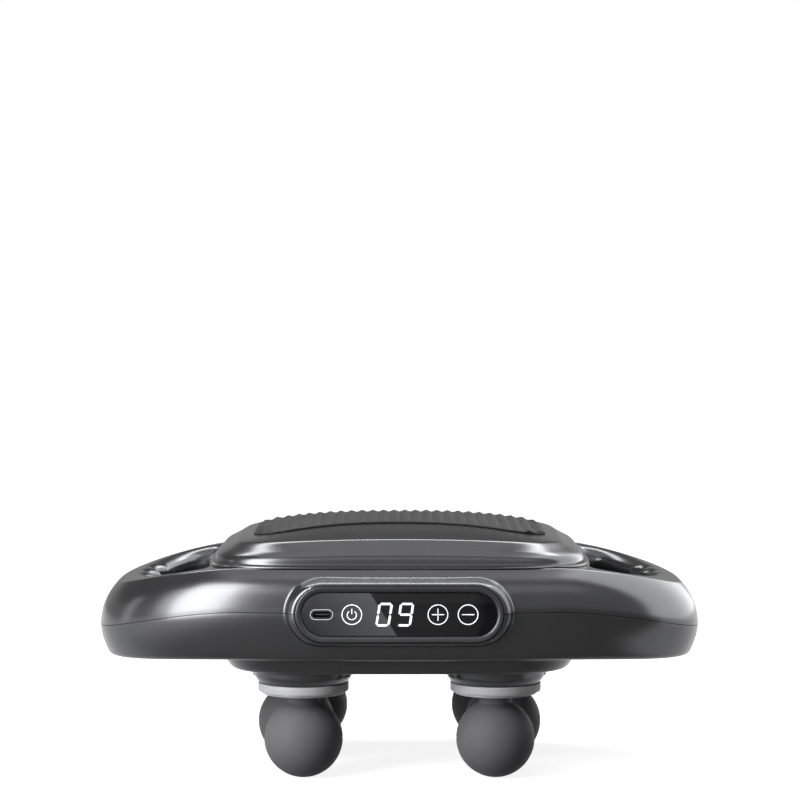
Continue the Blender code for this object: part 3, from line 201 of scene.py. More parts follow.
@dataclass(frozen=True)
class Finish:
    """A procedural finish: plain shader values, mottled roughness and a fine bump.

    Grain sizes are in metres, and the grain is drawn on Object coordinates.
    """

    name: str
    colour: Triple
    roughness: float
    metallic: float = 0.0
    coat: float = 0.0
    coat_roughness: float = 0.05
    grain: float = 0.3 * MM
    grain_depth: float = 0.0
    mottle: float = 0.04
    mottle_size: float = 14 * MM
    tint: float = 0.06
    stretch: Triple = (1.0, 1.0, 1.0)
    glow: float = 0.0
    specular: float = 0.5
    wear: float = 0.25
    edge_points: Pair = (0.53, 0.62)
    paler: Pair = (0.75, 0.12)
    shade_ends: Pair = (0.3, 0.7)

    def material(self) -> bpy.types.Material:
        """Builds the finish's material.

        Returns:
            The new material.
        """
        made = bpy.data.materials.new(self.name)
        made.use_nodes = True
        tree = made.node_tree
        place = add_node(tree, "TexCoord").outputs["Object"]
        mapping = add_node(tree, "Mapping", {"Vector": place, "Scale": self.stretch})
        mapped = mapping.outputs["Vector"]
        clouds = self.noise(tree, mapped, self.mottle_size, 4.0)
        low = max(0.02, self.roughness - self.mottle)
        inputs = {
            "Metallic": self.metallic,
            "Coat Weight": self.coat,
            "Coat Roughness": self.coat_roughness,
            "Specular IOR Level": self.specular,
            "Roughness": ranged(tree, clouds, 0.0, 1.0, low, self.roughness + self.mottle),
            "Base Color": self.worn(tree, self.shades(tree, clouds)),
        }
        if self.glow:
            inputs["Emission Color"] = (*self.colour, 1.0)
            inputs["Emission Strength"] = self.glow
        if self.grain_depth:
            grain = self.noise(tree, mapped, self.grain, 2.0)
            relief = {"Distance": self.grain_depth, "Strength": 1.0, "Height": grain}
            inputs["Normal"] = add_node(tree, "Bump", relief).outputs["Normal"]
        feed(tree, tree.nodes["Principled BSDF"], inputs)
        return made

    @staticmethod
    def noise(tree: Tree, mapped: Socket, size: float, detail: float) -> Socket:
        """Noise whose features measure about size.

        Args:
            tree: Node tree of the material.
            mapped: The coordinates' socket.
            size: Size of a feature in metres.
            detail: Noise detail.

        Returns:
            The noise's value socket.
        """
        inputs = {"Vector": mapped, "Scale": 1.0 / size, "Detail": detail}
        return add_node(tree, "TexNoise", inputs).outputs["Fac"]

    def worn(self, tree: Tree, colour: Socket) -> Socket:
        """Colour rubbed a little paler along the outward edges.

        Args:
            tree: Node tree of the material.
            colour: Socket of the plain colour.

        Returns:
            The worn colour's socket.
        """
        pointed = add_node(tree, "NewGeometry").outputs["Pointiness"]
        share = ranged(tree, pointed, *self.edge_points, 0.0, self.wear)
        gain, lift = self.paler
        mix = add_node(tree, "Mix")
        mix.data_type = "RGBA"
        rubbed = (*(gain * part + lift for part in self.colour), 1.0)
        feed(tree, mix, {"Factor": share, 6: colour, 7: rubbed})
        return mix.outputs[2]

    def shades(self, tree: Tree, value: Socket) -> Socket:
        """Colour that varies a little round the finish's own.

        Args:
            tree: Node tree of the material.
            value: Socket that drives the variation.

        Returns:
            The colour socket.
        """
        ramp = add_node(tree, "ValToRGB", {"Fac": value})
        ends = zip(ramp.color_ramp.elements, self.shade_ends, (-self.tint, self.tint))
        for stop, position, change in ends:
            stop.position = position
            stop.color = (*(min(1.0, part * (1.0 + change)) for part in self.colour), 1.0)
        return ramp.outputs["Color"]


@dataclass(frozen=True)
class GlassFinish(Finish):
    """Black glass with a painted reflection: a paler tint across its left part, cut off on a slant.
    """

    # tint of the painted reflection on the glass
    sheen: Triple = (0.085, 0.087, 0.092)
    edge_x: float = -6.9 * MM
    slant: float = -0.62
    fade: float = 46.0 * MM

    def shades(self, tree: Tree, value: Socket) -> Socket:
        """Colour that steps from the painted reflection to plain black at the slanted edge.

        Args:
            tree: Node tree of the material.
            value: Socket of the mottling, which the glass leaves out of its colour.

        Returns:
            The colour socket.
        """
        place = add_node(tree, "TexCoord").outputs["Object"]
        split = add_node(tree, "SeparateXYZ", {"Vector": place})
        height = joined(tree, "SUBTRACT", split.outputs["Z"], FORM.parting)
        shift = joined(tree, "MULTIPLY", height, self.slant)
        across = joined(tree, "SUBTRACT", split.outputs["X"], shift)
        # painted reflection: palest just left of the slanted edge, fading to black further left,
        # black right of it
        fade = ranged(tree, across, self.edge_x - self.fade, self.edge_x, 0.0, 1.0)
        ramp = add_node(tree, "ValToRGB", {"Fac": fade})
        stops = ramp.color_ramp.elements
        stops[0].position, stops[1].position = 0.0, 0.985
        stops[0].color = (*self.colour, 1.0)
        stops[1].color = (*self.sheen, 1.0)
        stops.new(0.9999).color = (*self.colour, 1.0)
        return ramp.outputs["Color"]


class Finishes:
    """Every finish of the massager, made once and shared by slot."""

    SHELL = Finish(
        "gunmetal_shell",
        (0.105, 0.106, 0.110),
        0.23,
        metallic=0.85,
        grain=0.5 * MM,
        grain_depth=0.0002 * MM,
        mottle=0.015,
        tint=0.03,
    )
    PAD = Finish(
        "pad_rubber_studs",
        (0.033, 0.032, 0.033),
        0.60,
        grain=0.25 * MM,
        grain_depth=0.01 * MM,
        specular=0.22,
        wear=0.06,
    )
    BALL = Finish(
        "ball_soft_rubber",
        (0.122, 0.120, 0.128),
        0.62,
        grain=0.22 * MM,
        grain_depth=0.006 * MM,
        mottle=0.03,
        tint=0.03,
        specular=0.15,
    )
    SEAL = Finish(
        "satin_grey_ring",
        (0.44, 0.44, 0.45),
        0.42,
        grain=0.3 * MM,
        grain_depth=0.002 * MM,
        mottle=0.03,
        tint=0.02,
    )
    WINDOW = GlassFinish(
        "black_display_glass", (0.005, 0.005, 0.006), 0.06, mottle=0.012, specular=0.22
    )
    LENS = Finish(
        "dark_red_lens", (0.022, 0.006, 0.007), 0.12, mottle=0.03, mottle_size=5 * MM, coat=0.3
    )
    STEEL = Finish(
        "turned_steel",
        (0.52, 0.53, 0.55),
        0.30,
        metallic=1.0,
        grain=0.15 * MM,
        grain_depth=0.003 * MM,
        stretch=(1.0, 1.0, 0.05),
        mottle=0.06,
    )
    SCREW = Finish(
        "black_oxide_screw",
        (0.022, 0.022, 0.024),
        0.36,
        metallic=0.8,
        grain=0.12 * MM,
        grain_depth=0.003 * MM,
    )
    BUSH = Finish(
        "bearing_plastic", (0.72, 0.71, 0.67), 0.45, grain=0.2 * MM, grain_depth=0.004 * MM
    )
    NYLON = Finish(
        "moulded_nylon", (0.085, 0.085, 0.09), 0.52, grain=0.18 * MM, grain_depth=0.012 * MM
    )
    BOARD = Finish("solder_mask", (0.014, 0.085, 0.040), 0.36, mottle_size=2.5 * MM, tint=0.25)
    CELL = Finish(
        "cell_wrap_film", (0.045, 0.14, 0.38), 0.30, coat=0.2, grain=2 * MM, grain_depth=0.01 * MM
    )
    BEZEL = Finish(
        "bezel_rim_coat", (0.070, 0.071, 0.074), 0.36, metallic=0.7, grain_depth=0.0004 * MM
    )
    # near-black charging socket: painted shade inside its hole
    SOCKET = Finish("socket_black", (0.010, 0.010, 0.011), 0.45, grain_depth=0.002 * MM)
    MARK = Finish("lit_marks", (0.80, 0.83, 0.86), 0.5, glow=0.7, tint=0.02)
    # grey print of the socket's outline, with a painted glow that makes it read brighter
    PRINT_WITH_PAINTED_GLOW = Finish("print_with_painted_glow", (0.42, 0.43, 0.44), 0.5, glow=0.25, tint=0.02)
    DOT = Finish("lens_dot", (0.16, 0.055, 0.045), 0.30, tint=0.12, mottle_size=3 * MM)

    def __init__(self) -> None:
        """Starts with no material made."""
        self.made: dict[str, bpy.types.Material] = {}

    def of_slot(self, slot: Slot) -> Finish:
        """The finish that has a slot's name."""
        return getattr(self, slot.name)

    def get(self, finish: Finish) -> bpy.types.Material:
        """The material of a finish.

        Args:
            finish: Which finish.

        Returns:
            The material, made on first use.
        """
        if finish.name not in self.made:
            self.made[finish.name] = finish.material()
        return self.made[finish.name]

    def dress_frame(self) -> None:
        """Gives every CAD node the finish of its slot in the record; the charging socket gets
        near-black instead, painted shade in its hole.
        """
        for entry in frame["record"]["subparts"]:
            node = frame["nodes"][entry["node"]]
            node.data.materials.clear()
            finish = self.of_slot(Slot(entry["material_slot"]))
            # the charging socket is painted near-black, as shade in its hole, in place of its
            # slot's finish
            if entry["node"] == "usb_socket":
                finish = self.SOCKET
            node.data.materials.append(self.get(finish))


FINISHES = Finishes()


# Mesh tools


def even_outline(
    half_x: float, half_y: float, power: float, count: int, focus: Pair = (0.0, 1.0)
) -> Outline:
    """Points spaced evenly round a rounded rectangle, closer together along its front.

    Args:
        half_x: Half length.
        half_y: Half depth.
        power: Corners tighten with it.
        count: Number of points.
        focus: Half length of the front stretch, and how much closer its points are.

    Returns:
        The points, counter-clockwise from +X.
    """
    reach, gain = focus
    angles = np.linspace(0.0, 2.0 * np.pi, 64 * count + 1)
    cos, sin = np.cos(angles), np.sin(angles)
    x = half_x * np.sign(cos) * np.abs(cos) ** (2 / power)
    y = half_y * np.sign(sin) * np.abs(sin) ** (2 / power)
    weight = np.where((y[1:] < 0) & (np.abs(x[1:]) < reach), gain, 1.0)
    run = np.concatenate(([0.0], np.cumsum(np.hypot(np.diff(x), np.diff(y)) * weight)))
    at = np.linspace(0.0, run[-1], count, endpoint=False)
    return list(zip(np.interp(at, run, x).tolist(), np.interp(at, run, y).tolist()))


def pill_outline(length: float, height: float, count: int) -> Outline:
    """Points round a slot shape: two half circles joined by straight sides.

    Args:
        length: Whole length.
        height: Whole height.
        count: Steps round each half circle.

    Returns:
        The points, counter-clockwise.
    """
    radius = height / 2
    reach = length / 2 - radius
    points = []
    for side in (1, -1):
        for i in range(count + 1):
            angle = math.pi * (i / count - 0.5)
            x, y = reach + radius * math.cos(angle), radius * math.sin(angle)
            points.append((side * x, side * y))
    return points


@dataclass
class Loop:
    """A closed loop of a mesh: its corners in order, and its edges."""

    verts: list
    edges: list

    def place(self, outline: Outline, height: Heights) -> None:
        """Moves the corners onto an outline.

        Args:
            outline: Where they go, seen from above.
            height: One height for all of them, or one for each.
        """
        heights = [height] * len(outline) if isinstance(height, float) else height
        for vert, (x, y), z in zip(self.verts, outline, heights):
            vert.co = (x, y, z)


def ring(bm: BMesh, outline: Outline, height: Heights) -> Loop:
    """One closed loop of edges, made as a circle and moved onto an outline.

    Args:
        bm: Mesh to add to.
        outline: Where its points go, seen from above.
        height: One height for all the points, or one for each.

    Returns:
        The loop.
    """
    verts = bmesh.ops.create_circle(bm, cap_ends=False, radius=1.0, segments=len(outline))["verts"]
    verts.sort(key=lambda vert: math.atan2(vert.co.y, vert.co.x))
    loop = Loop(verts, list(dict.fromkeys(edge for vert in verts for edge in vert.link_edges)))
    loop.place(outline, height)
    return loop


def grow(bm: BMesh, loop: Loop, outline: Outline, height: Heights) -> Loop:
    """Extrudes a loop to the next outline, which leaves a strip of faces behind it.

    Args:
        bm: Mesh that holds the loop.
        loop: Where the strip starts.
        outline: Where it ends, with as many points.
        height: One height for all the points, or one for each.

    Returns:
        The loop at the strip's end.
    """
    made = bmesh.ops.extrude_edge_only(bm, edges=loop.edges)["geom"]
    fresh = {item for item in made if isinstance(item, bmesh.types.BMVert)}
    verts = []
    for vert in loop.verts:
        ends = (edge.other_vert(vert) for edge in vert.link_edges)
        verts.append(next(end for end in ends if end in fresh))
    edges = [item for item in made if isinstance(item, bmesh.types.BMEdge)]
    grown = Loop(verts, [edge for edge in edges if fresh.issuperset(edge.verts)])
    grown.place(outline, height)
    return grown


def wall(bm: BMesh, sections: Sequence[tuple[Outline, Heights]]) -> tuple[Loop, Loop]:
    """A wall through a run of outlines.

    Args:
        bm: Mesh to add to.
        sections: Outlines and their heights.

    Returns:
        The wall's first loop and its last.
    """
    first = last = ring(bm, *sections[0])
    for outline, height in sections[1:]:
        last = grow(bm, last, outline, height)
    return first, last


def fill(bm: BMesh, *loops: Loop) -> None:
    """Fills the flat region between an outer loop and any loops inside it.

    Args:
        bm: Mesh that holds the loops.
        loops: The loops.
    """
    edges = [edge for loop in loops for edge in loop.edges]
    if len(loops) == 1:
        bmesh.ops.contextual_create(bm, geom=edges)
    else:
        bmesh.ops.triangle_fill(bm, use_beauty=True, use_dissolve=False, edges=edges)


def loft(bm: BMesh, walls: Sequence[Sequence[tuple[Outline, float]]]) -> None:
    """A closed solid between two flat ends, with any further walls as holes through it.

    Args:
        bm: Mesh to add to.
        walls: For each wall, its outlines and their heights.
    """
    pairs = [wall(bm, sections) for sections in walls]
    fill(bm, *(first for first, _ in pairs))
    fill(bm, *(last for _, last in pairs))


def spin_profile(
    bm: BMesh, profile: Profile, steps: int, centre: Triple, closed: bool = False
) -> None:
    """Turns a profile about a vertical axis.

    Args:
        bm: Mesh to add to.
        profile: Radius and height of each point.
        steps: Steps of the turn.
        centre: A point on the axis.
        closed: Whether the profile is a closed loop.
    """
    before = set(bm.verts)
    verts = [bm.verts.new(Vector(centre) + Vector((radius, 0.0, z))) for radius, z in profile]
    pairs = zip(verts, verts[1:] + verts[:1] if closed else verts[1:])
    geom = verts + [bm.edges.new(pair) for pair in pairs]
    turn = {"axis": (0, 0, 1), "angle": 2 * math.pi, "use_merge": True}
    bmesh.ops.spin(bm, geom=geom, cent=centre, steps=steps, **turn)
    made = [vert for vert in bm.verts if vert not in before]
    bmesh.ops.remove_doubles(bm, verts=made, dist=MERGE)


def rod(radius: float, low: float, high: float) -> Profile:
    """A plain rod's profile, from its top."""
    return [(0, high), (radius, high), (radius, low), (0, low)]


def arc(centre: Pair, radius: float, start: float, end: float, steps: int) -> Profile:
    """Points along an arc of a profile.

    Args:
        centre: Its centre.
        radius: Its radius.
        start: First angle in degrees.
        end: Last angle in degrees.
        steps: Number of steps.

    Returns:
        The points from start to end.
    """
    points = []
    for i in range(steps + 1):
        angle = math.radians(start + (end - start) * i / steps)
        points.append((centre[0] + radius * math.cos(angle), centre[1] + radius * math.sin(angle)))
    return points


def block(low: Sequence[float], high: Sequence[float]) -> BMesh:
    """A plain block, for cutting.

    Args:
        low: Lowest corner.
        high: Highest corner.

    Returns:
        A new mesh.
    """
    bm = bmesh.new()
    size = Vector(high) - Vector(low)
    matrix = Matrix.Translation((Vector(low) + Vector(high)) / 2) @ Matrix.Diagonal((*size, 1.0))
    bmesh.ops.create_cube(bm, size=1.0, matrix=matrix)
    return bm


def lay_to_front(bm: BMesh, height: float) -> None:
    """Turns a shape built lying flat so that its own +Z faces -Y at a height.

    Args:
        bm: The mesh, turned in place.
        height: Height its centre line is moved to.
    """
    turn = Matrix.Translation((0, 0, height)) @ Matrix.Rotation(math.radians(90), 4, "X")
    bmesh.ops.transform(bm, matrix=turn, verts=bm.verts)


def scratch_object(name: str, bm: BMesh) -> Object:
    """An object for a boolean, kept out of the finished scene.

    Args:
        name: Its name.
        bm: Its mesh, freed here.

    Returns:
        The object.
    """
    bmesh.ops.recalc_face_normals(bm, faces=bm.faces)
    mesh = bpy.data.meshes.new(name)
    bm.to_mesh(mesh)
    bm.free()
    made = bpy.data.objects.new(name, mesh)
    bpy.context.scene.collection.objects.link(made)
    return made


def boolean_mesh(target: Object, operation: str, other: Object) -> tuple[bpy.types.Mesh, int]:
    """The mesh that one boolean leaves, welded and with its many-sided faces split.

    Args:
        target: Object that is changed.
        operation: DIFFERENCE or UNION.
        other: Object to cut away or to join.

    Returns:
        The new mesh, and how many of its edges don't have two faces.
    """
    modifier = target.modifiers.new(other.name, "BOOLEAN")
    modifier.operation = operation
    modifier.solver = "EXACT"
    modifier.object = other
    bpy.context.view_layer.update()
    graph = bpy.context.evaluated_depsgraph_get()
    mesh = bpy.data.meshes.new_from_object(target.evaluated_get(graph))
    target.modifiers.clear()
    bm = bmesh.new()
    bm.from_mesh(mesh)
    bmesh.ops.triangulate(bm, faces=[face for face in bm.faces if len(face.verts) > 4])
    bmesh.ops.remove_doubles(bm, verts=bm.verts, dist=MERGE)
    odd = sum(len(edge.link_faces) != 2 for edge in bm.edges)
    bm.to_mesh(mesh)
    bm.free()
    return mesh, odd


def combine(target: Object, operation: str, others: Sequence[Object]) -> None:
    """Applies booleans one at a time and deletes what they used.

    A boolean that leaves an open or empty mesh is tried again with its object nudged.

    Args:
        target: Object that is changed.
        operation: DIFFERENCE or UNION.
        others: Objects to cut away or to join.
    """
    for other in others:
        for _ in range(TRIES):
            mesh, odd = boolean_mesh(target, operation, other)
            if mesh.polygons and not odd:
                break
            LOG.warning("%s: %d open edges after %s", target.name, odd, other.name)
            other.location.z += NUDGE
        if not mesh.polygons:
            raise RuntimeError(f"{target.name} is empty after {other.name}")
        target.data = mesh
        bpy.data.objects.remove(other)


def finish_piece(
    made: Object | BMesh,
    name: str,
    slot: Slot,
    body: Body = Body.HOUSING,
    replaces: Sequence[str] = (),
    finish: Finish | None = None,
    sharp: float = SHARP,
) -> Object:
    """Names a piece, moves it to the frame's centre line, dresses it and sets it on its body.

    Args:
        made: The piece's object or its mesh.
        name: Its name.
        slot: Material slot it takes its finish from.
        body: Body that it rides on.
        replaces: CAD nodes that it stands for.
        finish: Its finish where it isn't its slot's own.
        sharp: Angle from which its edges look sharp.

    Returns:
        The finished object.
    """
    if isinstance(made, BMesh):
        bmesh.ops.remove_doubles(made, verts=made.verts, dist=MERGE)
        made = scratch_object(name, made)
    made.name = name
    made.data.name = name
    made.data.transform(Matrix.Translation((0.0, FORM.centre_y, 0.0)))
    made.data.materials.clear()
    made.data.materials.append(FINISHES.get(finish or FINISHES.of_slot(slot)))
    made.data.shade_smooth()
    made.data.set_sharp_from_angle(angle=sharp)
    if replaces:
        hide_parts(*replaces)
    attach(made, body.value)
    LOG.info("%s: %d faces", name, len(made.data.polygons))
    return made


# The body's shared form


@dataclass(frozen=True)
class BodyForm:
    """Outlines, levels and bend that the shells, dome and screws share.

    Heights come from the frame's nodes; the rest are the massager's own sizes.
    """

    half_x: float
    half_y: float
    centre_y: float
    parting: float
    rim_top: float
    plateau: float
    socket_bottom: float
    front: float
    power: float = 2.8
    wall: float = 2.8 * MM
    gap: float = 0.3 * MM
    lower_height: float = 22.7 * MM
    upper_inset: float = 8.5 * MM
    dome_half_x: float = 90.0 * MM
    dome_half_y: float = 79.5 * MM
    dome_power: float = 5.0
    plateau_half_x: float = 86.0 * MM
    plateau_half_y: float = 79.0 * MM
    plateau_power: float = 5.3
    drop_start: float = 72.0 * MM
    drop_below: float = 5.0 * MM
    drop_parting: float = 13.3 * MM
    drop_above: float = 15.0 * MM
    drop_power: float = 1.7
    grip_x: float = 106.8 * MM
    grip_half_width: float = 13.9 * MM
    grip_half_length: float = 53.5 * MM
    grip_bow: float = 10.0 * MM
    grip_power: float = 2.5
    grip_rounding: float = 9.0 * MM
    grip_inner_share: float = 0.15
    grip_share: float = 0.45
    grip_margin: float = 0.3 * MM
    grip_turn: int = 10
    grip_rise: int = 5
    room_knee: float = 0.9 * MM
    room_grip: Pair = (3.2 * MM, 0.55)
    room_count: int = 160
    room_steps: tuple[int, int] = (32, 44)
    finger_pitch: float = 15.2 * MM
    finger_depth: float = 1.7 * MM
    finger_run: float = 34.2 * MM
    head_x: float = 45.2 * MM
    middle_head_x: float = 50.7 * MM
    row_pitch: float = 51.0 * MM
    outline_count: int = 660
    front_focus: Pair = (62.0 * MM, 3.0)
    fine_band: Pair = (12.4 * MM, 18.4 * MM)
    fine_ring: float = 0.3 * MM
    coarse_ring: float = 1.25 * MM
    bend_step: float = 2.6 * MM

    @classmethod
    def from_frame(cls) -> "BodyForm":
        """Reads the sizes that the frame's boxes give.

        Returns:
            The form.
        """
        lower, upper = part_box("bottom_housing"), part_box("top_housing")
        dome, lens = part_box("dome_cover"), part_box("infrared_window")
        centre_y = (dome[0].y + dome[1].y) / 2
        return cls(
            half_x=upper[1].x,
            half_y=upper[1].y - centre_y,
            centre_y=centre_y,
            parting=lower[1].z,
            rim_top=upper[1].z,
            plateau=lens[0].z - 0.3 * MM,
            socket_bottom=lower[0].z,
            front=lower[0].y - centre_y,
        )

    @property
    def rim_bottom(self) -> float:
        """Height of the handles' flat underside before the bend."""
        return self.parting - self.lower_height

    @property
    def floor_top(self) -> float:
        """Top of the plateau's floor inside."""
        return self.plateau + self.wall

    def heads(self) -> list[tuple[str, Side, float, float]]:
        """Row name, side, x and y of the six heads.

        Returns:
            One entry for each head, from front to rear.
        """
        outer, middle, pitch = self.head_x, self.middle_head_x, self.row_pitch
        rows = (("front", outer, -pitch), ("middle", middle, 0.0), ("rear", outer, pitch))
        return [(row, side, side.sign * x, y) for row, x, y in rows for side in Side]

    def drop(self, x: float, z: float) -> float:
        """How far the handles' bend lowers a point of the straight body.

        Args:
            x: Place along the length.
            z: Height on the straight body.

        Returns:
            The drop in metres.
        """
        reach = (abs(x) - self.drop_start) / (self.half_x - self.drop_start)
        if reach <= 0:
            return 0.0
        if z < self.parting:
            share = max(0.0, (z - self.rim_bottom) / self.lower_height)
            drop = self.drop_below + share * (self.drop_parting - self.drop_below)
        else:
            share = (z - self.parting) / (self.rim_top - self.parting)
            drop = self.drop_parting + share * (self.drop_above - self.drop_parting)
        return drop * reach**self.drop_power

    def outline(self, inset: float, count: int = 0) -> Outline:
        """The body's outline moved in by inset."""
        half = (self.half_x - inset, self.half_y - inset)
        return even_outline(*half, self.power, count or self.outline_count, self.front_focus)

    def grip_levels(self, flat: float, rise: float) -> list[Triple]:
        """Sections up the wall round an opening, from a flat face with a rounded edge.

        Args:
            flat: Height of the flat face.
            rise: Height of the wall, negative where it goes down.

        Returns:
            Rounding, finger share and height of each section.
        """
        tall = self.grip_share * rise
        levels = [(self.grip_rounding + self.grip_margin, 0.0, flat)]
        for i in range(self.grip_turn):
            angle = math.radians(90 / (self.grip_turn - 1) * i)
            out, share = self.grip_rounding * (1 - math.sin(angle)), math.sin(angle) ** 1.5
            levels.append((out, share, flat + tall * (1 - math.cos(angle))))
        for i in range(1, self.grip_rise + 1):
            levels.append((0.0, 1.0, flat + tall + (rise - tall) * i / self.grip_rise))
        return levels

    def body_walls(
        self, bm: BMesh, levels: Sequence[Pair], grips: Sequence[Triple]
    ) -> list[tuple[Loop, Loop]]:
        """A housing's outer wall with the display's surround, and the walls round its openings.

        Args:
            bm: Mesh to add to.
            levels: Inset and height of the outer wall's sections.
            grips: Rounding, finger share and height of the openings' sections.

        Returns:
            First and last loop of each wall.
        """
        pairs = [wall(bm, [(self.outline(inset), z) for inset, z in levels])]
        BUMP.raise_wall(bm)
        for side in Side:
            pairs.append(wall(bm, [(self.opening(side, out, share), z) for out, share, z in grips]))
        return pairs

    def room(self, corner: float, heights: Triple, grip_knee: float) -> BMesh:
        """The room inside a housing's rim, a wall's thickness away from its outside.

        Args:
            corner: Inset of the outline at the flat end.
            heights: Heights of the flat end, the knee above it and the open end.
            grip_knee: Height of the knee in the walls round the openings.

        Returns:
            A new mesh.
        """
        bm = bmesh.new()
        insets, (flat, _, mouth) = (corner, self.room_knee, 0.0), heights
        walls = [[]]
        for inset, z in zip(insets, heights):
            walls[0].append((self.outline(inset + self.wall, self.room_count), z))
        grips = ((*self.room_grip, flat), (0.0, 1.0, grip_knee), (0.0, 1.0, mouth))
        for side in Side:
            walls.append([])
            for out, share, z in grips:
                outline = self.opening(side, out, share, self.wall, self.room_steps)
                walls[-1].append((outline, z))
        loft(bm, walls)
        return bm

    def opening(
        self,
        side: Side,
        rounding: float,
        fingers: float,
        wall: float = 0.0,
        steps: tuple[int, int] = (104, 110),
    ) -> Outline:
        """The opening behind one handle.

        Args:
            side: Which handle.
            rounding: How far its edge has rounded away from the opening's wall.
            fingers: Share of the finger grooves' depth.
            wall: Widens every side alike, to leave a wall round the opening.
            steps: Steps along the grooves, and round the rest.

        Returns:
            The outline's points.
        """
        half_length = self.grip_half_length + rounding + wall
        power = self.grip_power
        shape = []
        for i in range(steps[0] + 1):
            along = self.finger_run * (2 * i / steps[0] - 1) / half_length
            shape.append((along, (1 - abs(along) ** power) ** (1 / power)))
        start = math.asin((self.finger_run / half_length) ** (power / 2))
        for i in range(1, steps[1]):
            angle = start + (2 * math.pi - 2 * start) * i / steps[1]
            parts = (math.sin(angle), math.cos(angle))
            shape.append(tuple(math.copysign(abs(part) ** (2 / power), part) for part in parts))
        points = []
        for along, across in shape:
            weight = (1 + self.grip_inner_share + across * (1 - self.grip_inner_share)) / 2
            reach = self.grip_half_width + rounding * weight + wall
            x = self.grip_x - self.grip_bow * along * along + reach * across
            y = half_length * along
            if across > 0 and abs(y) < self.finger_run:
                fade = min(1.0, 2 * (self.finger_run - abs(y)) / self.finger_pitch)
                wave = math.cos(2 * math.pi * y / self.finger_pitch)
                x -= fingers * self.finger_depth * fade * wave
            points.append((side.sign * x, side.sign * y))
        return points

    def bend(self, made: Object) -> None:
        """Cuts the flat faces into strips across the handles and lowers every point by the drop.

        Args:
            made: Object whose mesh is bent.
        """
        bm = bmesh.new()
        bm.from_mesh(made.data)
        bmesh.ops.triangulate(bm, faces=[face for face in bm.faces if len(face.verts) > 4])
        reach = self.drop_start
        while reach < self.half_x:
            for x in (-reach, reach):
                wide = []
                for face in bm.faces:
                    spans = [vert.co.x for vert in face.verts]
                    if min(spans) < x < max(spans) and max(spans) - min(spans) > self.bend_step:
                        wide.append(face)
                parts = (item for face in wide for item in (*face.verts, *face.edges, face))
                geom = list(dict.fromkeys(parts))
                plane = {"plane_co": (x, 0, 0), "plane_no": (1, 0, 0)}
                bmesh.ops.bisect_plane(bm, geom=geom, dist=MERGE, **plane)
            reach += self.bend_step
        for vert in bm.verts:
            vert.co.z -= self.drop(vert.co.x, vert.co.z)
        bm.to_mesh(made.data)
        bm.free()


FORM = BodyForm.from_frame()


@dataclass(frozen=True)
class DisplayBump:
    """The raised surround of the display, pushed out of the front wall."""

    face_length: float = 96.0 * MM
    face_height: float = 26.8 * MM
    round_off: float = 1.0 * MM
    end_round: float = 4.0 * MM
    end_slope: float = 2.0
    long_slope: float = 3.4
    blend: float = 1.3 * MM

    def push(self, x: float, y: float, z: float) -> float:
        """Where a point of the front wall goes.

        Args:
            x: Place along the length.
            y: Place of the plain wall.
            z: Height.

        Returns:
            The new y.
        """
        reach = self.face_length / 2 - self.face_height / 2
        across, up = max(0.0, abs(x) - reach), z - FORM.parting
        far = max(MERGE, math.hypot(across, up))
        weight = (up / far) ** 2
        slope = self.end_slope + (self.long_slope - self.end_slope) * weight
        turn = self.end_round + (self.round_off - self.end_round) * weight
        away = far - self.face_height / 2
        if away < 0:
            depth = 0.0
        elif away < turn:
            depth = slope * away * away / (2 * turn)
        else:
            depth = slope * (away - turn / 2)
        bump = FORM.front + depth
        share = min(1.0, max(0.0, 0.5 + 0.5 * (y - bump) / self.blend))
        return y + (bump - y) * share - self.blend * share * (1 - share)

    def raise_wall(self, bm: BMesh) -> None:
        """Pushes the front wall's points out.

        Args:
            bm: Mesh of the straight body.
        """
        for vert in bm.verts:
            if vert.co.y < -FORM.half_y / 2 and abs(vert.co.x) < self.face_length:
                vert.co.y = self.push(*vert.co)


BUMP = DisplayBump()


def rounded_levels(
    flat: float, rise: float, lean: Callable[[float], float], edge: float
) -> list[Pair]:
    """Insets and heights up a wall that starts on a flat face with a rounded edge.

    Args:
        flat: Height of the flat face.
        rise: Height of the wall, negative where it goes down.
        lean: Inset of the wall at a share of its height, counted from the flat face.
        edge: Radius of the edge between them.

    Returns:
        Pairs of inset and height, the first two on the flat face.
    """
    tall = abs(rise)
    corner, top = lean(0.0), lean(edge / tall)
    levels = [(corner + edge * LIP, flat), (corner + edge, flat)]
    for i in range(1, EDGE_STEPS + 1):
        t = i / EDGE_STEPS
        inset = (1 - t) ** 2 * (corner + edge) + 2 * t * (1 - t) * corner + t * t * top
        levels.append((inset, flat + math.copysign(edge, rise) * t * t))
    fine_from, fine_to = FORM.fine_band
    reach = tall - edge
    while reach > MERGE:
        step = FORM.fine_ring if fine_from < reach < fine_to else FORM.coarse_ring
        reach = max(0.0, reach - step)
        levels.append((lean(1 - reach / tall), flat + math.copysign(tall - reach, rise)))
    return levels


# Shells


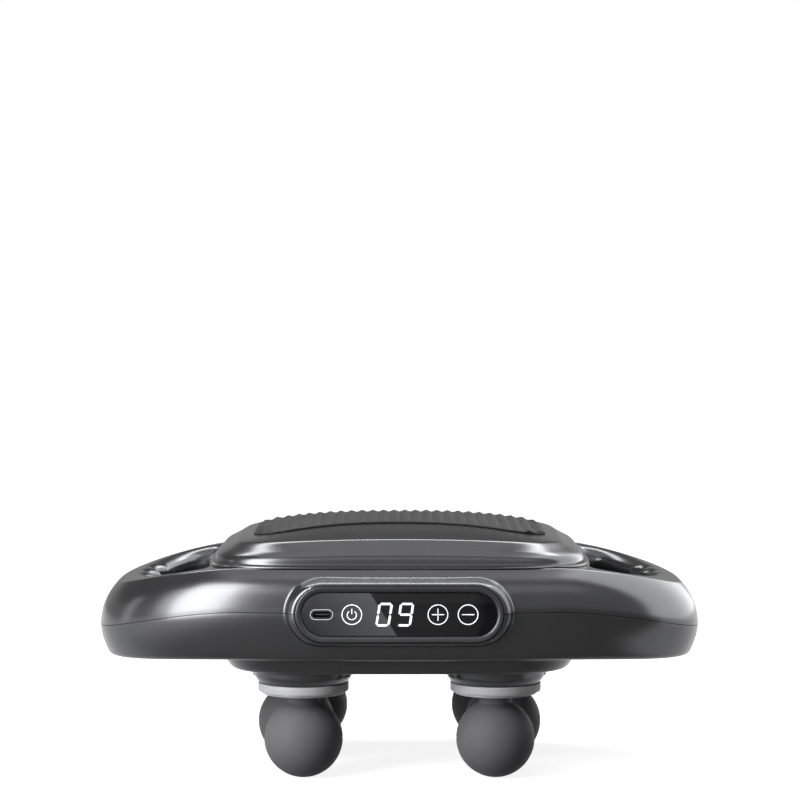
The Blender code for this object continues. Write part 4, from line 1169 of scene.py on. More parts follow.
@dataclass
class LowerShell:
    """Lower housing: plateau with six sockets, rim, lower half of both handles."""

    edge: float = 2.7 * MM
    lean_depth: float = 4.3 * MM
    lean_power: float = 1.7
    parting_chamfer: float = 0.05 * MM
    plateau_slope: Pair = (6.5 * MM, 3.0 * MM)
    plateau_steps: int = 10
    plateau_count: int = 300
    socket_radius: float = 23.0 * MM
    socket_taper: float = 1.7 * MM
    socket_flare: float = 0.8 * MM
    socket_round: float = 0.6 * MM
    socket_steps: int = 96
    bush_radius: float = 9.0 * MM
    bore_steps: int = 48
    pocket_steps: int = 32
    post_steps: int = 24
    hole_count: int = 120
    post_radius: float = 4.5 * MM
    room_corner: float = 2.9 * MM
    room_height: float = 11.0 * MM
    grip_height: float = 10.2 * MM

    def lean(self, height: float) -> float:
        """Inset of the outer wall.

        Args:
            height: Share of the wall's height, counted from the underside.

        Returns:
            The inset in metres.
        """
        inset = self.lean_depth * max(0.0, 1 - height) ** self.lean_power
        return inset + (self.parting_chamfer if height > 0.999 else 0.0)

    def plateau_outline(self, share: float, wall: float = 0.0, count: int = 0) -> Outline:
        """The plateau's outline at a share of its slope.

        Args:
            share: 0 at the slope's foot, 1 on the plateau.
            wall: Moves it further in by a wall's thickness.
            count: Number of points where it isn't the plateau's own.

        Returns:
            The outline's points.
        """
        slope_x, slope_y = self.plateau_slope
        return even_outline(
            FORM.plateau_half_x - share * slope_x - wall,
            FORM.plateau_half_y - share * slope_y - wall,
            FORM.plateau_power,
            count or self.plateau_count,
        )

    def shell(self) -> BMesh:
        """The closed outside, straight, before the inside is cut out of it.

        Returns:
            A new mesh.
        """
        bm = bmesh.new()
        levels = rounded_levels(FORM.rim_bottom, FORM.lower_height, self.lean, self.edge)
        pairs = FORM.body_walls(bm, levels, FORM.grip_levels(FORM.rim_bottom, FORM.lower_height))
        fall = FORM.rim_bottom - FORM.plateau
        slope = [(self.plateau_outline(-0.05), FORM.rim_bottom)]
        for i in range(self.plateau_steps + 1):
            t = i / self.plateau_steps
            z = FORM.rim_bottom - fall * (1 - math.cos(math.pi * t)) / 2
            slope.append((self.plateau_outline(t), z))
        slope.append((self.plateau_outline(1.04), FORM.plateau))
        foot, flat = wall(bm, slope)
        fill(bm, *(first for first, _ in pairs), foot)
        fill(bm, flat)
        fill(bm, *(last for _, last in pairs))
        return bm

    def sockets(self) -> BMesh:
        """The six sockets that stand down from the plateau, each flared where it meets it.

        Returns:
            A new mesh.
        """
        radius, flare, low = self.socket_radius, self.socket_flare, FORM.socket_bottom
        shoulder = FORM.plateau - 2.6 * MM
        top = FORM.plateau + FORM.wall / 2
        profile = [(0, top), (radius + flare, top), (radius + flare, FORM.plateau - 0.02 * MM)]
        profile += arc((radius + flare, FORM.plateau - flare), flare, 100, 180, 6)
        end, fall = radius - self.socket_taper, shoulder - low - self.socket_round
        for i in range(6):
            t = i / 5
            out = radius - 0.1 * MM - (self.socket_taper - 0.1 * MM) * t * t
            profile.append((out, shoulder - fall * t))
        turn = self.socket_round
        profile += arc((end - turn, low + turn), turn, 0, -90, 4)[1:]
        profile.append((0, low))
        bm = bmesh.new()
        for _, _, x, y in FORM.heads():
            spin_profile(bm, profile, self.socket_steps, (x, y, 0))
        return bm

    def holes(self) -> BMesh:
        """Bores of the guide bushes, the lens hole and the twelve screw pockets, as one cutter.

        Returns:
            A new mesh.
        """
        bm = bmesh.new()
        low, high = FORM.socket_bottom - OVERRUN, FORM.floor_top + OVERRUN
        radius = self.bush_radius + FORM.gap
        for _, _, x, y in FORM.heads():
            spin_profile(bm, rod(radius, low, high), self.bore_steps, (x, y, 0))
        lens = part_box("infrared_window")
        half_x, half_y = LensWindow.half_x + FORM.gap, LensWindow.half_y + FORM.gap
        outline = even_outline(half_x, half_y, LensWindow.power, self.hole_count)
        loft(bm, [[(outline, lens[0].z - OVERRUN), (outline, high)]])
        for screw in Screw.all():
            spin_profile(bm, screw.hole(), self.pocket_steps, (screw.x, screw.y, 0))
        return bm

    def build(self) -> None:
        """Makes, hollows, bends and dresses the lower housing."""
        shell = scratch_object("lower_shell", self.shell())
        low = FORM.rim_bottom
        heights = (low + FORM.wall, low + self.room_height, FORM.parting + OVERRUN)
        room = FORM.room(self.room_corner, heights, low + self.grip_height)
        plateau_room = bmesh.new()
        outline = self.plateau_outline(1.0, FORM.wall, self.hole_count)
        loft(plateau_room, [[(outline, FORM.floor_top), (outline, low + FORM.wall + OVERRUN)]])
        rooms = [scratch_object("lower_room", room), scratch_object("plateau_room", plateau_room)]
        combine(shell, "DIFFERENCE", rooms)
        FORM.bend(shell)
        posts = bmesh.new()
        for screw in Screw.all():
            post = rod(self.post_radius, *screw.post())
            spin_profile(posts, post, self.post_steps, (screw.x, screw.y, 0))
        added = [scratch_object("lower_posts", posts), scratch_object("sockets", self.sockets())]
        combine(shell, "UNION", added)
        cutters = [scratch_object("lower_holes", self.holes()), *Display.cutters("lower")]
        combine(shell, "DIFFERENCE", cutters)
        node = "bottom_housing"
        finish_piece(shell, "shell_lower", Slot.SHELL, replaces=[node], sharp=SHELL_SHARP)


@dataclass
class UpperShell:
    """Upper housing: rim and upper half of both handles, open under the dome."""

    edge: float = 0.7 * MM
    parting_chamfer: float = 0.05 * MM
    lean_shares: Pair = (0.18, 0.82)
    lean_power: float = 3.1
    hatch_inset: float = 9.6 * MM
    hatch_count: int = 120
    post_radius: float = 3.6 * MM
    post_taper: float = 2.6 * MM
    post_point: float = 0.3
    post_steps: int = 24
    pilot_steps: int = 16
    room_corner: float = 3.6 * MM
    room_height: float = 8.0 * MM
    grip_height: float = 10.5 * MM

    def lean(self, height: float) -> float:
        """Inset of the outer wall.

        Args:
            height: Share of the wall's height, counted from the top.

        Returns:
            The inset in metres.
        """
        up = max(0.0, 1 - height)
        straight, curved = self.lean_shares
        inset = FORM.upper_inset * (straight * up + curved * up**self.lean_power) - self.edge * 0.2
        return inset + (self.parting_chamfer if height > 0.999 else 0.0)

    @property
    def bottom(self) -> float:
        """Height of its parting face."""
        return FORM.parting + FORM.gap

    def shell(self) -> BMesh:
        """The closed outside, straight, before the inside is cut out of it.

        Returns:
            A new mesh.
        """
        bm = bmesh.new()
        rise = self.bottom - FORM.rim_top
        levels = rounded_levels(FORM.rim_top, rise, self.lean, self.edge)
        levels = [(max(0.0, inset), z) for inset, z in levels]
        pairs = FORM.body_walls(bm, levels, FORM.grip_levels(FORM.rim_top, rise))
        fill(bm, *(first for first, _ in pairs))
        fill(bm, *(last for _, last in pairs))
        return bm

    def build(self) -> None:
        """Makes, hollows, bends and dresses the upper housing."""
        shell = scratch_object("upper_shell", self.shell())
        heights = (FORM.rim_top - FORM.wall, self.bottom + self.room_height, FORM.parting - OVERRUN)
        room = FORM.room(self.room_corner, heights, self.bottom + self.grip_height)
        hatch = bmesh.new()
        half_x, half_y = FORM.dome_half_x - self.hatch_inset, FORM.dome_half_y - self.hatch_inset
        outline = even_outline(half_x, half_y, FORM.dome_power, self.hatch_count)
        loft(hatch, [[(outline, FORM.parting), (outline, FORM.rim_top + OVERRUN)]])
        rooms = [scratch_object("upper_room", room), scratch_object("hatch", hatch)]
        combine(shell, "DIFFERENCE", rooms)
        FORM.bend(shell)
        posts, pilots = bmesh.new(), bmesh.new()
        for screw in Screw.all():
            if not screw.x:
                continue
            low, high = screw.upper_post()
            radius, place = self.post_radius, (screw.x, screw.y, 0)
            top = [(0, high), (self.post_point * radius, high), (radius, high - self.post_taper)]
            spin_profile(posts, [*top, (radius, low), (0, low)], self.post_steps, place)
            pilot = rod(screw.shank_radius + FORM.gap, low - OVERRUN, screw.tip + FORM.gap)
            spin_profile(pilots, pilot, self.pilot_steps, place)
        combine(shell, "UNION", [scratch_object("upper_posts", posts)])
        combine(shell, "DIFFERENCE", [scratch_object("pilots", pilots), *Display.cutters("upper")])
        finish_piece(shell, "shell_upper", Slot.SHELL, replaces=["top_housing"], sharp=SHELL_SHARP)


@dataclass
class Dome:
    """Dome cover and the studded grip pad on its crown."""

    wall: float = 2.5 * MM
    count: int = 320
    flank: Sequence[Pair] = (
        (0.9965, 0.0),
        (1.0, 0.25),
        (0.9985, 0.45),
        (0.989, 0.85),
        (0.978, 1.35),
        (0.9755, 1.8),
        (0.974, 2.8),
        (0.9705, 4.2),
        (0.963, 5.5),
        (0.950, 6.7),
        (0.925, 8.1),
        (0.900, 9.6),
        (0.880, 10.9),
        (0.868, 11.7),
        (0.857, 12.35),
    )
    crown_shares: Sequence[float] = (0.845, 0.82, 0.78, 0.72, 0.65, 0.57, 0.48, 0.38, 0.27, 0.14)
    crown_top: float = 118.87 * MM
    crown_fall: float = 5.17 * MM
    crown_share: float = 0.857
    crown_power: float = 2.2
    pad_half_x: float = 70.0 * MM
    pad_half_y: float = 30.0 * MM
    end_sag: float = 4.2 * MM
    sag_power: float = 2.2
    sag_rise: float = 12.35 * MM
    pad_flare: float = 20.0 * MM
    pad_closing: float = 0.5
    pad_columns: int = 26
    pad_rows: int = 14
    stud: float = 0.95 * MM
    stud_inset: float = 0.25 * MM
    pad_thickness: float = 0.45 * MM
    pad_border: float = 0.6 * MM

    @property
    def base(self) -> float:
        """Height of the foot."""
        return FORM.rim_top + FORM.gap

    def profile(self) -> list[Pair]:
        """Share of the plan and height of each ring, from the foot to the crown's middle."""
        flank = [(share, self.base + rise * MM) for share, rise in self.flank]
        return flank + [(share, self.crown(share)) for share in self.crown_shares]

    def sag(self, x: float, z: float) -> float:
        """How far the cover falls towards both ends at a height; nothing at its foot."""
        share = min(1.0, max(0.0, (z - self.base) / self.sag_rise))
        return self.end_sag * share * (abs(x) / FORM.dome_half_x) ** self.sag_power

    def crown(self, share: float) -> float:
        """Height of the crown at a share of the plan."""
        return self.crown_top - self.crown_fall * (share / self.crown_share) ** self.crown_power

    def height(self, x: float, y: float) -> float:
        """Height of the crown over a point.

        Args:
            x: Place along the length.
            y: Place along the depth.

        Returns:
            The height in metres.
        """
        power = FORM.dome_power
        across, along = abs(x / FORM.dome_half_x) ** power, abs(y / FORM.dome_half_y) ** power
        crown = self.crown((across + along) ** (1 / power))
        return crown - self.sag(x, crown)

    def sections(self, inset: float) -> list[tuple[Outline, list[float]]]:
        """Sections up the dome's outside or its inside.

        Args:
            inset: 0 for the outside, the wall's thickness for the inside.

        Returns:
            Outlines, and a height for each of their points.
        """
        half_x, half_y = FORM.dome_half_x - inset, FORM.dome_half_y - inset
        made = []
        for share, z in self.profile():
            outline = even_outline(half_x * share, half_y * share, FORM.dome_power, self.count)
            foot = z < self.base + FORM.gap
            heights = []
            for x, _ in outline:
                low = self.base - FORM.drop(x, FORM.rim_top)
                heights.append(low if foot else z - inset - self.sag(x, z))
            made.append((outline, heights))
        return made

    def build(self) -> None:
        """Makes and dresses the cover and the pad."""
        bm = bmesh.new()
        crown, roof = wall(bm, [*self.sections(0.0)[::-1], *self.sections(self.wall)])
        fill(bm, crown)
        fill(bm, roof)
        finish_piece(bm, "dome_shell", Slot.SHELL, replaces=["dome_cover"])
        self.build_pad()

    def pad_reach(self, x: float) -> float:
        """Half the pad's width at a place along it: flared, then rounded off at the ends."""
        share = min(1.0, abs(x) / self.pad_half_x)
        return (self.pad_half_y + self.pad_flare * share**2) * (1 - self.pad_closing * share**10)

    def build_pad(self) -> None:
        """A rubber sheet of pyramid studs with a plain raised border."""
        bm = bmesh.new()
        bmesh.ops.create_grid(bm, x_segments=self.pad_columns, y_segments=self.pad_rows, size=1.0)
        for vert in bm.verts:
            x = vert.co.x * (self.pad_half_x - self.pad_border)
            vert.co = (x, vert.co.y * (self.pad_reach(x) - self.pad_border), 0.0)
        edges = [edge for edge in bm.edges if edge.is_boundary]
        grown = bmesh.ops.extrude_edge_only(bm, edges=edges)["geom"]
        for vert in grown:
            if isinstance(vert, bmesh.types.BMVert):
                x = vert.co.x * self.pad_half_x / (self.pad_half_x - self.pad_border)
                inner = self.pad_reach(vert.co.x) - self.pad_border
                vert.co = (x, vert.co.y * self.pad_reach(vert.co.x) / inner, 0.0)
        for vert in bm.verts:
            vert.co.z = self.height(vert.co.x, vert.co.y) + FORM.gap
        lifted = bmesh.ops.extrude_face_region(bm, geom=bm.faces[:])["geom"]
        verts = [item for item in lifted if isinstance(item, bmesh.types.BMVert)]
        bmesh.ops.translate(bm, verts=verts, vec=(0, 0, self.pad_thickness))
        tops = [item for item in lifted if isinstance(item, bmesh.types.BMFace)]
        cells = [face for face in tops if self.is_stud(face)]
        bmesh.ops.inset_individual(bm, faces=cells, thickness=self.stud_inset, use_even_offset=True)
        bmesh.ops.poke(bm, faces=cells, offset=self.stud)
        finish_piece(bm, "pad_studs", Slot.PAD, replaces=["grip_pad"], sharp=STUD_SHARP)

    def is_stud(self, face: bmesh.types.BMFace) -> bool:
        """Tells a stud's top face from the border's.

        Args:
            face: A face on the pad's top.

        Returns:
            Whether it is a stud's.
        """
        centre = face.calc_center_median()
        inner = self.pad_reach(centre.x) - self.pad_border
        return abs(centre.x) < self.pad_half_x - self.pad_border and abs(centre.y) < inner


# Display


@dataclass
class Display:
    """Bezel, glass, lit marks and charging socket in the front."""

    length: float = 89.4 * MM
    height: float = 20.2 * MM
    bezel: float = 2.8 * MM
    bezel_depth: float = 3.0 * MM
    recess: float = 0.6 * MM
    thickness: float = 2.4 * MM
    slot_margin: float = 2.5 * MM
    socket_x: float = -35.5 * MM
    stroke: float = 0.42 * MM
    mark_depth: float = 0.10 * MM
    round_steps: int = 24
    glass_edge: float = 0.25 * MM
    power_x: float = -21.7 * MM
    plus_x: float = 17.5 * MM
    minus_x: float = 31.2 * MM
    key_size: float = 9.4 * MM
    key_arm: float = 2.9 * MM
    socket_outline: Pair = (10.6 * MM, 4.9 * MM)
    mark_steps: int = 16
    ring_steps: int = 20
    power_ring: Pair = (-0.2 * MM, 2.1 * MM)
    digit_half: Pair = (2.75 * MM, 4.9 * MM)
    digit_slant: float = 0.16
    digit_width: float = 1.05 * MM
    digit_gap: float = 0.16 * MM
    digits: Sequence[tuple[float, str]] = ((-7.0 * MM, "abcdef"), (2.7 * MM, "abcdfg"))

    @classmethod
    def cutters(cls, name: str) -> list[Object]:
        """The pocket of the bezel and the slot behind it.

        Args:
            name: Start of their names.

        Returns:
            The two cutters.
        """
        band, margin = 2 * (cls.bezel + FORM.gap), 2 * cls.slot_margin
        back, inside = FORM.front + cls.bezel_depth + FORM.gap, -FORM.half_y + 2 * OVERRUN
        pocket = cls.slab(cls.length + band, cls.height + band, FORM.front - OVERRUN, back)
        slot = cls.slab(cls.length - margin, cls.height - margin, back - OVERRUN / 2, inside)
        return [scratch_object(f"{name}_pocket", pocket), scratch_object(f"{name}_slot", slot)]

    @classmethod
    def slab(
        cls, length: float, height: float, front: float, back: float, edge: float = 0.0
    ) -> BMesh:
        """A slot-shaped slab facing -Y at the display's height.

        Args:
            length: Along X.
            height: Along Z.
            front: Its front face's Y.
            back: Its back face's Y.
            edge: Radius of its front edge.

        Returns:
            A new mesh.
        """
        bm = bmesh.new()
        sections = [(pill_outline(length, height, cls.round_steps), -back)]
        if edge:
            for i in range(6):
                angle = math.radians(18 * i)
                inset = 2 * edge * (1 - math.cos(angle))
                outline = pill_outline(length - inset, height - inset, cls.round_steps)
                sections.append((outline, -front - edge * (1 - math.sin(angle))))
        else:
            sections.append((sections[0][0], -front))
        loft(bm, [sections])
        lay_to_front(bm, FORM.parting)
        return bm

    def build(self) -> None:
        """Makes and dresses every piece of the display."""
        self.build_bezel()
        self.build_glass()
        self.build_marks()

    def build_bezel(self) -> None:
        """The rim round the glass: a flat band whose edges are rounded."""
        bm = bmesh.new()
        front, back = -FORM.front, -FORM.front - self.bezel_depth
        width = self.bezel
        section = [(width, back), (width, front - 0.5 * MM), (width - 0.12 * MM, front - 0.2 * MM)]
        section += [(width - 0.4 * MM, front - 0.02 * MM), (width - 0.55 * MM, front)]
        section += [(1.0 * MM, front - 0.05 * MM), (0.6 * MM, front - 0.25 * MM)]
        section += [(0.2 * MM, front - 0.55 * MM), (0.0, front - 0.8 * MM), (0.0, back)]
        outlines = []
        for out, y in section:
            outline = pill_outline(self.length + 2 * out, self.height + 2 * out, self.round_steps)
            outlines.append((outline, y))
        wall(bm, [*outlines, outlines[0]])
        lay_to_front(bm, FORM.parting)
        finish_piece(bm, "bezel_rim", Slot.SHELL, replaces=["display_bezel"], finish=Finishes.BEZEL)

    def build_glass(self) -> None:
        """The glass, with the charging socket's hole through it."""
        front = FORM.front + self.recess
        gap = 2 * FORM.gap
        back = front + self.thickness
        slab = self.slab(self.length - gap, self.height - gap, front, back, self.glass_edge)
        glass = scratch_object("glass", slab)
        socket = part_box("usb_socket")
        length = socket[1].x - socket[0].x + gap
        height = socket[1].z - socket[0].z + gap
        hole = self.slab(length, height, front - OVERRUN, front + OVERRUN)
        bmesh.ops.translate(hole, verts=hole.verts, vec=(self.socket_x, 0, 0))
        combine(glass, "DIFFERENCE", [scratch_object("glass_hole", hole)])
        finish_piece(glass, "glass_front", Slot.WINDOW, replaces=["display_window"])

    def build_marks(self) -> None:
        """Thin marks on the glass: lit power, digits, plus and minus, and the socket's outline,
        which is print with a painted glow.
        """
        bm = bmesh.new()
        for x in (self.power_x, self.plus_x, self.minus_x):
            self.outline_mark(bm, self.key_size, self.key_size, x)
        arm, plus = self.key_arm, self.plus_x
        self.stroke_mark(bm, (plus - arm, 0), (plus + arm, 0))
        self.stroke_mark(bm, (plus, -arm), (plus, -self.stroke / 2))
        self.stroke_mark(bm, (plus, self.stroke / 2), (plus, arm))
        self.stroke_mark(bm, (self.minus_x - arm, 0), (self.minus_x + arm, 0))
        self.power_mark(bm, (self.power_x, self.power_ring[0]), self.power_ring[1])
        for x, segments in self.digits:
            self.digit(bm, x, segments)
        self.finish_marks(bm, "display_marks", Finishes.MARK)
        bm = bmesh.new()
        self.outline_mark(bm, *self.socket_outline, self.socket_x)
        # the socket's outline: grey print with a faint painted glow
        self.finish_marks(bm, "socket_mark", Finishes.PRINT_WITH_PAINTED_GLOW)

    def finish_marks(self, bm: BMesh, name: str, finish: Finish) -> None:
        """Lays a set of marks on the glass and dresses them.

        Args:
            bm: Mesh of the marks.
            name: Name of the piece.
            finish: Its finish.
        """
        bmesh.ops.translate(bm, verts=bm.verts, vec=(0, 0, -FORM.front - self.recess))
        lay_to_front(bm, FORM.parting)
        finish_piece(scratch_object(name, bm), name, Slot.WINDOW, finish=finish)

    def flat_piece(self, bm: BMesh, loops: Sequence[Outline]) -> None:
        """A thin plate between the glass's surface and the marks' own, from loops of outline."""
        loft(bm, [[(loop, 0.01 * MM), (loop, self.mark_depth)] for loop in loops])

    def outline_mark(self, bm: BMesh, length: float, height: float, x: float) -> None:
        """A thin slot-shaped or round outline.

        Args:
            bm: Mesh of the marks.
            length: Its whole length.
            height: Its whole height.
            x: Its middle.
        """
        thick = 2 * self.stroke
        outlines = [
            pill_outline(length + MERGE, height, self.mark_steps),
            pill_outline(length - thick + MERGE, height - thick, self.mark_steps),
        ]
        self.flat_piece(bm, [[(px + x, py) for px, py in outline] for outline in outlines])

    def stroke_mark(self, bm: BMesh, start: Pair, end: Pair, width: float = 0.0) -> None:
        """A straight stroke with pointed ends, as a readout's segment has.

        Args:
            bm: Mesh of the marks.
            start: One end.
            end: The other end.
            width: Its width where it isn't the plain stroke's.
        """
        half = (width or self.stroke) / 2
        along = Vector((end[0] - start[0], end[1] - start[1]))
        along.normalize()
        across, tip = Vector((-along.y, along.x)) * half, along * half
        begin, stop = Vector(start), Vector(end)
        near, far = begin + tip, stop - tip
        corners = [begin, near - across, far - across, stop, far + across, near + across]
        self.flat_piece(bm, [[(corner.x, corner.y) for corner in corners]])

    def power_mark(self, bm: BMesh, centre: Pair, radius: float) -> None:
        """An open ring with an upright stroke in its gap.

        Args:
            bm: Mesh of the marks.
            centre: Centre of the ring.
            radius: Its radius.
        """
        outer = arc(centre, radius + self.stroke / 2, 125, 415, self.ring_steps)
        inner = arc(centre, radius - self.stroke / 2, 415, 125, self.ring_steps)
        self.flat_piece(bm, [[*outer, *inner]])
        x, y = centre
        self.stroke_mark(bm, (x, y + 0.4 * MM), (x, y + radius + 0.9 * MM))

    def digit(self, bm: BMesh, x: float, segments: str) -> None:
        """A slanted seven-segment digit.

        Args:
            bm: Mesh of the marks.
            x: Its middle.
            segments: Letters of the segments that are lit.
        """
        half_x, half_y = self.digit_half
        places = {
            "a": ((-half_x, half_y), (half_x, half_y)),
            "b": ((half_x, half_y), (half_x, 0.0)),
            "c": ((half_x, 0.0), (half_x, -half_y)),
            "d": ((half_x, -half_y), (-half_x, -half_y)),
            "e": ((-half_x, -half_y), (-half_x, 0.0)),
            "f": ((-half_x, 0.0), (-half_x, half_y)),
            "g": ((-half_x, 0.0), (half_x, 0.0)),
        }
        for letter in segments:
            start, end = (Vector(point) for point in places[letter])
            along = (end - start).normalized() * self.digit_gap
            start, end = start + along, end - along
            ends = [(x + p.x + self.digit_slant * p.y, p.y) for p in (start, end)]
            self.stroke_mark(bm, *ends, self.digit_width)


# Underside


@dataclass
class LensWindow:
    """Dark red window in the underside, with spokes of moulded dots."""

    half_x: float = 18.9 * MM
    half_y: float = 25.7 * MM
    power: float = 3.6
    rim: float = 1.2 * MM
    spokes: int = 16
    dots: int = 7
    dot: float = 0.55 * MM
    count: int = 160
    dot_steps: int = 8
    dot_start: float = 0.26
    dot_run: float = 0.60
    dot_profile: Sequence[Pair] = ((0, 0.05), (1, 0.05), (1, -0.06), (0.6, -0.2), (0, -0.26))

    def build(self) -> None:
        """Makes and dresses the lens and its dots."""
        low, high = FORM.plateau + FORM.gap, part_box("infrared_window")[1].z
        bm = bmesh.new()
        sections = [
            (0.0, high),
            (0.0, low + 0.25 * MM),
            (0.08 * MM, low + 0.07 * MM),
            (0.25 * MM, low),
            (self.rim, low),
            (self.rim + 0.25 * MM, low + 0.3 * MM),
            (self.rim + 1.0 * MM, low + 0.45 * MM),
        ]
        outlines = []
        for inset, z in sections:
            outline = even_outline(self.half_x - inset, self.half_y - inset, self.power, self.count)
            outlines.append((outline, z))
        loft(bm, [outlines])
        finish_piece(bm, "lens_front", Slot.LENS, replaces=["infrared_window"])
        self.build_dots(low + 0.45 * MM)

    def build_dots(self, face: float) -> None:
        """Low domes along the spokes.

        Args:
            face: Height of the lens's face.
        """
        bm = bmesh.new()
        for i in range(self.spokes):
            angle = 2 * math.pi * i / self.spokes
            cos, sin, power = math.cos(angle), math.sin(angle), self.power
            sides = abs(cos / self.half_x) ** power + abs(sin / self.half_y) ** power
            edge = sides ** (-1 / power)
            for j in range(self.dots):
                reach = edge * (self.dot_start + self.dot_run * j / (self.dots - 1))
                profile = [(share * self.dot, z * MM) for share, z in self.dot_profile]
                spin_profile(bm, profile, self.dot_steps, (reach * cos, reach * sin, face))
        finish_piece(bm, "lens_dots", Slot.LENS, finish=Finishes.DOT)


@dataclass(frozen=True)
class Screw:
    """One recessed screw of the underside."""

    name: str
    x: float
    y: float
    head_radius: float = 2.3 * MM
    head_height: float = 1.8 * MM
    shank_radius: float = 1.4 * MM
    bite: float = 7.0 * MM
    boss_wall: float = 1.9 * MM
    thread_pitch: float = 0.7 * MM
    thread_depth: float = 0.3 * MM
    recess: Pair = (1.15 * MM, 0.27 * MM)
    recess_depth: float = 0.9 * MM
    steps: int = 24

    @classmethod
    def all(cls) -> list["Screw"]:
        """The twelve screws, where the frame has them.

        Returns:
            The screws, in the order of the frame.
        """
        found = []
        for name in frame["nodes"]:
            if name.startswith("screw_"):
                low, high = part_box(name)
                found.append(cls(name, (low.x + high.x) / 2, (low.y + high.y) / 2 - FORM.centre_y))
        return found

    @property
    def seat(self) -> float:
        """Height of the shoulder that its head bears on."""
        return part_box(self.name)[0].z + self.head_height + FORM.gap

    @property
    def tip(self) -> float:
        """Height of its end."""
        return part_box(self.name)[1].z + FORM.gap

    def hole(self) -> Profile:
        """Pocket and clearance hole through the lower shell.

        Returns:
            The profile, from its top.
        """
        wide, narrow = self.head_radius + FORM.gap, self.shank_radius + FORM.gap
        face = FORM.rim_bottom if self.x else FORM.plateau
        lip = face - FORM.drop(self.x, FORM.rim_bottom)
        mouth = FORM.plateau - (2 if self.x else 1) * OVERRUN
        top = self.tip - self.bite + OVERRUN
        chamfer = 0.35 * MM
        return [
            (0, top),
            (narrow, top),
            (narrow, self.seat),
            (wide, self.seat),
            (wide, lip + chamfer),
            (wide + chamfer, lip),
            (wide + chamfer, mouth),
            (0, mouth),
        ]

    def post(self) -> Pair:
        """Lowest and highest point of its post in the lower shell.

        Returns:
            The two heights in metres.
        """
        floor = FORM.floor_top
        if self.x:
            floor = FORM.rim_bottom + FORM.wall
            floor -= FORM.drop(self.x, floor)
        return floor - FORM.wall / 2, self.tip - self.bite - FORM.gap

    def upper_post(self) -> Pair:
        """Lowest and highest point of its post in the upper shell.

        Returns:
            The two heights in metres.
        """
        foot = FORM.parting + 2 * FORM.gap
        foot -= FORM.drop(abs(self.x) - self.head_radius - self.boss_wall, FORM.parting)
        fall = FORM.drop(abs(self.x) + self.head_radius, FORM.rim_top)
        return foot, FORM.rim_top - FORM.wall / 2 - fall

    def build(self) -> None:
        """Makes the screw: pan head with rounded edge, cross recess and ribbed shank."""
        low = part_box(self.name)[0].z
        bm = bmesh.new()
        head, seat, tip = self.head_radius, low + self.head_height, self.tip - FORM.gap
        core = self.shank_radius - self.thread_depth
        profile = [(0.0, tip), (0.5 * MM, tip), (core, tip - 0.8 * MM)]
        z = tip - 1.0 * MM
        while z > seat + 1.2 * MM:
            profile += [(self.shank_radius, z), (core, z - self.thread_depth)]
            z -= self.thread_pitch
        profile += [(core, seat), (head - 0.15 * MM, seat), (head, seat - 0.15 * MM)]
        profile += [(head, low + 0.6 * MM), (head - 0.18 * MM, low + 0.22 * MM)]
        profile += [(head - 0.6 * MM, low), (0, low)]
        spin_profile(bm, profile, self.steps, (self.x, self.y, 0))
        screw = scratch_object(self.name + "_body", bm)
        slots = []
        for x, y in (self.recess, self.recess[::-1]):
            start = (self.x - x, self.y - y, low - 1 * MM)
            slot = block(start, (self.x + x, self.y + y, low + self.recess_depth))
            slots.append(scratch_object(f"{self.name}_slot", slot))
        combine(screw, "DIFFERENCE", slots)
        finish_piece(screw, self.name.replace("screw", "fixing"), Slot.SCREW, replaces=[self.name])


# Heads


